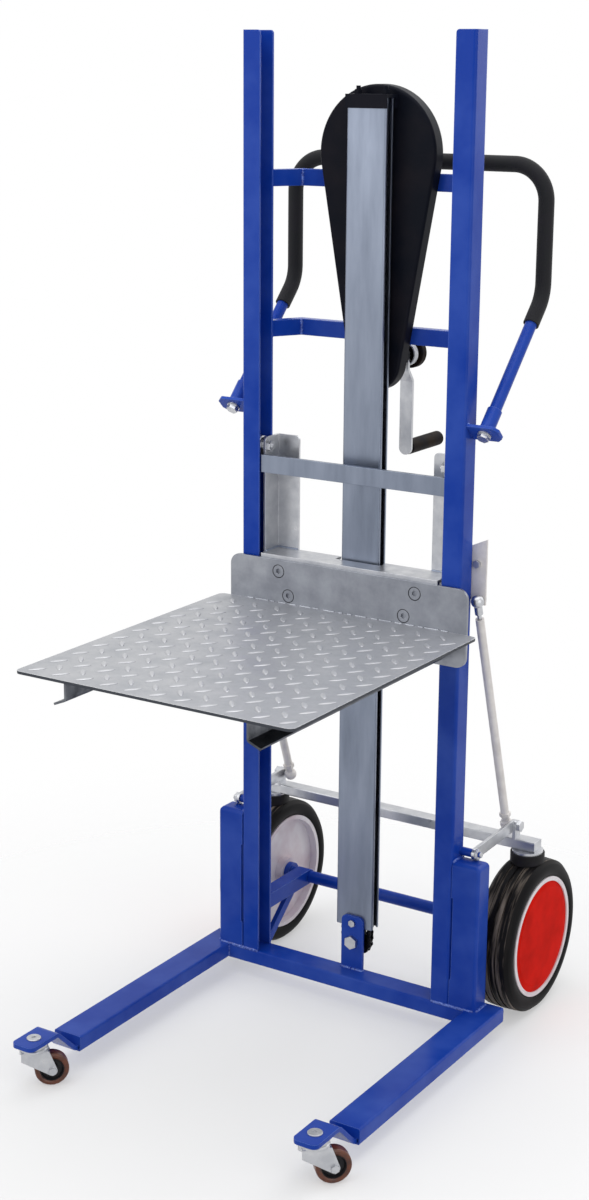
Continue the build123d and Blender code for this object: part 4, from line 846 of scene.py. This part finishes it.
def rounded(half, inner, outer, ease):
    """Outline of a tread: square inside, rounded outside."""
    points = [(-half, inner)]
    for degrees in range(180, 89, -15):
        angle = math.radians(degrees)
        points.append((-half + ease + ease * math.cos(angle), outer - ease + ease * math.sin(angle)))
    for degrees in range(90, -1, -15):
        angle = math.radians(degrees)
        points.append((half - ease + ease * math.cos(angle), outer - ease + ease * math.sin(angle)))
    return points + [(half, inner)]


class LIFT_OT_casters(bpy.types.Operator):
    """Turn the casters' wheels: an amber tread on a dished core"""

    bl_idname = "lift.casters"
    bl_label = "Caster wheels"

    def execute(self, context):
        joints = {joint["name"]: joint for joint in frame["joints"]}
        for side in SIDES:
            joint = joints[f"caster_{side}_roll"]
            axis = Vector(joint["axis"]).normalized()
            low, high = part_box(f"caster_wheel_{side}")
            centre = (low + high) / 2
            radius = (high.z - low.z) / 2
            body = f"caster_roll_{side}"
            half, ease, core = 12 * MM, 4 * MM, radius * 0.7
            verts, faces = lathe(rounded(half, core, radius, ease), centre, axis)
            tread = piece(f"caster_tread_{side}", verts, faces, "tread", body)
            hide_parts(f"caster_wheel_{side}")
            hub, bore, web, face, lip = radius * 0.32, 4.05 * MM, 5 * MM, half + 1.4 * MM, half - 1 * MM
            near = [
                (-face, bore), (-face, hub), (-web, hub + 1.5 * MM),
                (-web, core - 3 * MM), (-lip, core - 1 * MM), (-lip, core),
            ]
            outline = near + [(-along, reach) for along, reach in reversed(near)]
            verts, faces = lathe(outline, centre, axis)
            piece(f"caster_core_{side}", verts, faces, "core", body, smooth=False)
        return {"FINISHED"}


class LIFT_OT_pivot_ends(bpy.types.Operator):
    """Cap the brake's painted pivot pins with their bare threaded ends"""

    bl_idname = "lift.pivot_ends"
    bl_label = "Pivot ends"

    def execute(self, context):
        low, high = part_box("brake_stubs")
        centre = (low + high) / 2
        radius, crest = 5.05 * MM, 0.4 * MM
        outline = [(-1 * MM, 0)]
        for turn in range(-1, 3):
            outline += [(turn * MM, radius - crest), ((turn + 0.5) * MM, radius)]
        outline += [(3 * MM, radius - 2 * crest), (3.2 * MM, 0)]
        verts, faces = [], []
        for side in SIDES.values():
            end = Vector((side * high.x, centre.y, centre.z))
            gather(verts, faces, *lathe(outline, end, Vector((side, 0, 0)), 24))
        piece("pivot_ends", verts, faces, "zinc", "frame", smooth=False)
        return {"FINISHED"}


class LIFT_OT_finishes(bpy.types.Operator):
    """Give every CAD node its finish"""

    bl_idname = "lift.finishes"
    bl_label = "Finishes"

    def execute(self, context):
        dressed = set()
        for name, (_, nodes) in FINISHES.items():
            for node in nodes.split():
                NODES[node].data.materials.clear()
                NODES[node].data.materials.append(finish(name))
                dressed.add(node)
        # The nuts on the column's strap are painted with it.
        bolts = NODES["frame_bolts"]
        bolts.data.materials.append(finish("black"))
        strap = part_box("top_bracket")
        for face in bolts.data.polygons:
            place = bolts.matrix_world @ face.center
            face.material_index = int(place.z > strap[0].z and abs(place.x) < strap[1].x)
        bare = set(NODES) - dressed
        if bare:
            raise RuntimeError(f"no finish for {sorted(bare)}")
        return {"FINISHED"}


def soft_lamp(name, place, target, size, power):
    """Large soft studio lamp that points at a target."""
    lamp = bpy.data.lights.new(name, "AREA")
    lamp.shape = "RECTANGLE"
    lamp.size, lamp.size_y = size
    lamp.energy = power
    made = bpy.data.objects.new(name, lamp)
    made.location = place
    made.rotation_mode = "QUATERNION"
    made.rotation_quaternion = (Vector(target) - Vector(place)).to_track_quat("-Z", "Y")
    bpy.context.scene.collection.objects.link(made)
    return made


def studio_floor(colours):
    """Pale floor that fades into the white background away from the lift."""
    values = {"Roughness": 0.7, "Base Color": list(colours.floor)}
    material, tree, shader, place = start("studio_floor", values)
    grain = add(tree, "ShaderNodeTexNoise", {"Vector": place, "Scale": per_metre(40), "Detail": 4.0})
    bump = add(
        tree, "ShaderNodeBump", {"Height": grain.outputs["Fac"], "Strength": 0.02, "Distance": 0.2 * MM},
    )
    feed(tree, bump.outputs[0], shader, "Normal")
    reach = add(tree, "ShaderNodeVectorMath", {0: place}, operation="LENGTH")
    fade = add(
        tree, "ShaderNodeMapRange",
        {"Value": reach.outputs["Value"], "From Min": 0.5, "From Max": 1.6, "To Min": 0.4},
        interpolation_type="SMOOTHSTEP",
    )
    clear = add(tree, "ShaderNodeBsdfTransparent")
    mix = add(
        tree, "ShaderNodeMixShader", {0: fade.outputs[0], 1: shader.outputs[0], 2: clear.outputs[0]},
    )
    tree.links.new(mix.outputs[0], tree.nodes["Material Output"].inputs["Surface"])
    return material


class LIFT_OT_stage(bpy.types.Operator):
    """Set up the floor, the soft lamps, the white background and the camera"""

    bl_idname = "lift.stage"
    bl_label = "Stage"

    def execute(self, context):
        scene = context.scene
        colours, _ = settings()
        mesh = bpy.data.meshes.new("floor")
        disc = bmesh.new()
        bmesh.ops.create_circle(disc, cap_ends=True, segments=96, radius=4)
        disc.to_mesh(mesh)
        disc.free()
        floor = bpy.data.objects.new("floor", mesh)
        floor.location = (0, 0, -0.5 * MM)
        mesh.materials.append(studio_floor(colours))
        scene.collection.objects.link(floor)

        # The lamps are large, so that bright metal mirrors them from any side without clipping.
        middle = (0, 0, 0.9)
        soft_lamp("key", (-1.9, -2.6, 2.9), middle, (4.0, 3.8), 44)
        soft_lamp("fill", (3.0, -1.2, 1.7), middle, (2.2, 2.6), 20)
        soft_lamp("back", (0.8, 3.0, 2.6), middle, (3.0, 2.4), 28)
        soft_lamp("top", (0, 0, 3.6), middle, (3.4, 3.4), 54)

        world = bpy.data.worlds.new("studio")
        scene.world = world
        world.use_nodes = True
        tree = world.node_tree
        path = add(tree, "ShaderNodeLightPath")
        seen = add(
            tree, "ShaderNodeMath",
            {0: path.outputs["Is Camera Ray"], 1: path.outputs["Is Glossy Ray"]}, operation="MAXIMUM",
        )
        seen = add(
            tree, "ShaderNodeMath",
            {0: seen.outputs[0], 1: path.outputs["Is Transmission Ray"]}, operation="MAXIMUM",
        )
        strength = add(
            tree, "ShaderNodeMapRange", {"Value": seen.outputs[0], "To Min": 0.5, "To Max": 1.0},
        )
        background = tree.nodes["Background"]
        background.inputs["Color"].default_value = (1, 1, 1, 1)
        tree.links.new(strength.outputs[0], background.inputs["Strength"])

        lens = bpy.data.cameras.new("photo_view")
        lens.sensor_fit = "VERTICAL"
        lens.sensor_height = 36
        lens.lens = CAMERA_LENS
        camera = bpy.data.objects.new("photo_view", lens)
        turn = Matrix.Rotation(math.radians(CAMERA_TURN), 4, "Z")
        turn = turn @ Matrix.Rotation(math.radians(90 - CAMERA_DIP), 4, "X")
        turn = turn @ Matrix.Rotation(math.radians(CAMERA_ROLL), 4, "Z")
        camera.matrix_world = Matrix.Translation(CAMERA_PLACE) @ turn
        scene.collection.objects.link(camera)
        scene.camera = camera
        scene.view_settings.view_transform = "Standard"
        return {"FINISHED"}


class LIFT_PT_looks(bpy.types.Panel):
    """Lists the steps that dress the lift"""

    bl_idname = "LIFT_PT_looks"
    bl_label = "Material lift"
    bl_space_type = "VIEW_3D"
    bl_region_type = "UI"
    bl_category = "Lift"

    def draw(self, context):
        for step in STEPS:
            self.layout.operator(step.bl_idname)
        for group in settings():
            box = self.layout.box()
            for name in group.bl_rna.properties.keys():
                if name not in ("rna_type", "name"):
                    box.prop(group, name)


STEPS = (
    LIFT_OT_finishes,
    LIFT_OT_deck_lugs,
    LIFT_OT_chain,
    LIFT_OT_welds,
    LIFT_OT_carriage_welds,
    LIFT_OT_screw_gaps,
    LIFT_OT_casters,
    LIFT_OT_pivot_ends,
    LIFT_OT_stage,
)
CLASSES = (LiftColours, LiftSizes, *STEPS, LIFT_PT_looks)


def register():
    """Add the lift's classes and settings to Blender."""
    for each in CLASSES:
        bpy.utils.register_class(each)
    bpy.types.Scene.lift_colours = bpy.props.PointerProperty(type=LiftColours)
    bpy.types.Scene.lift_sizes = bpy.props.PointerProperty(type=LiftSizes)


def unregister():
    """Take the lift's classes and settings out of Blender."""
    del bpy.types.Scene.lift_sizes
    del bpy.types.Scene.lift_colours
    for each in reversed(CLASSES):
        bpy.utils.unregister_class(each)


def main():
    """Dress the lift step by step."""
    register()
    for step in STEPS:
        group, name = step.bl_idname.split(".")
        getattr(getattr(bpy.ops, group), name)()


if __name__ == "__main__":
    main()
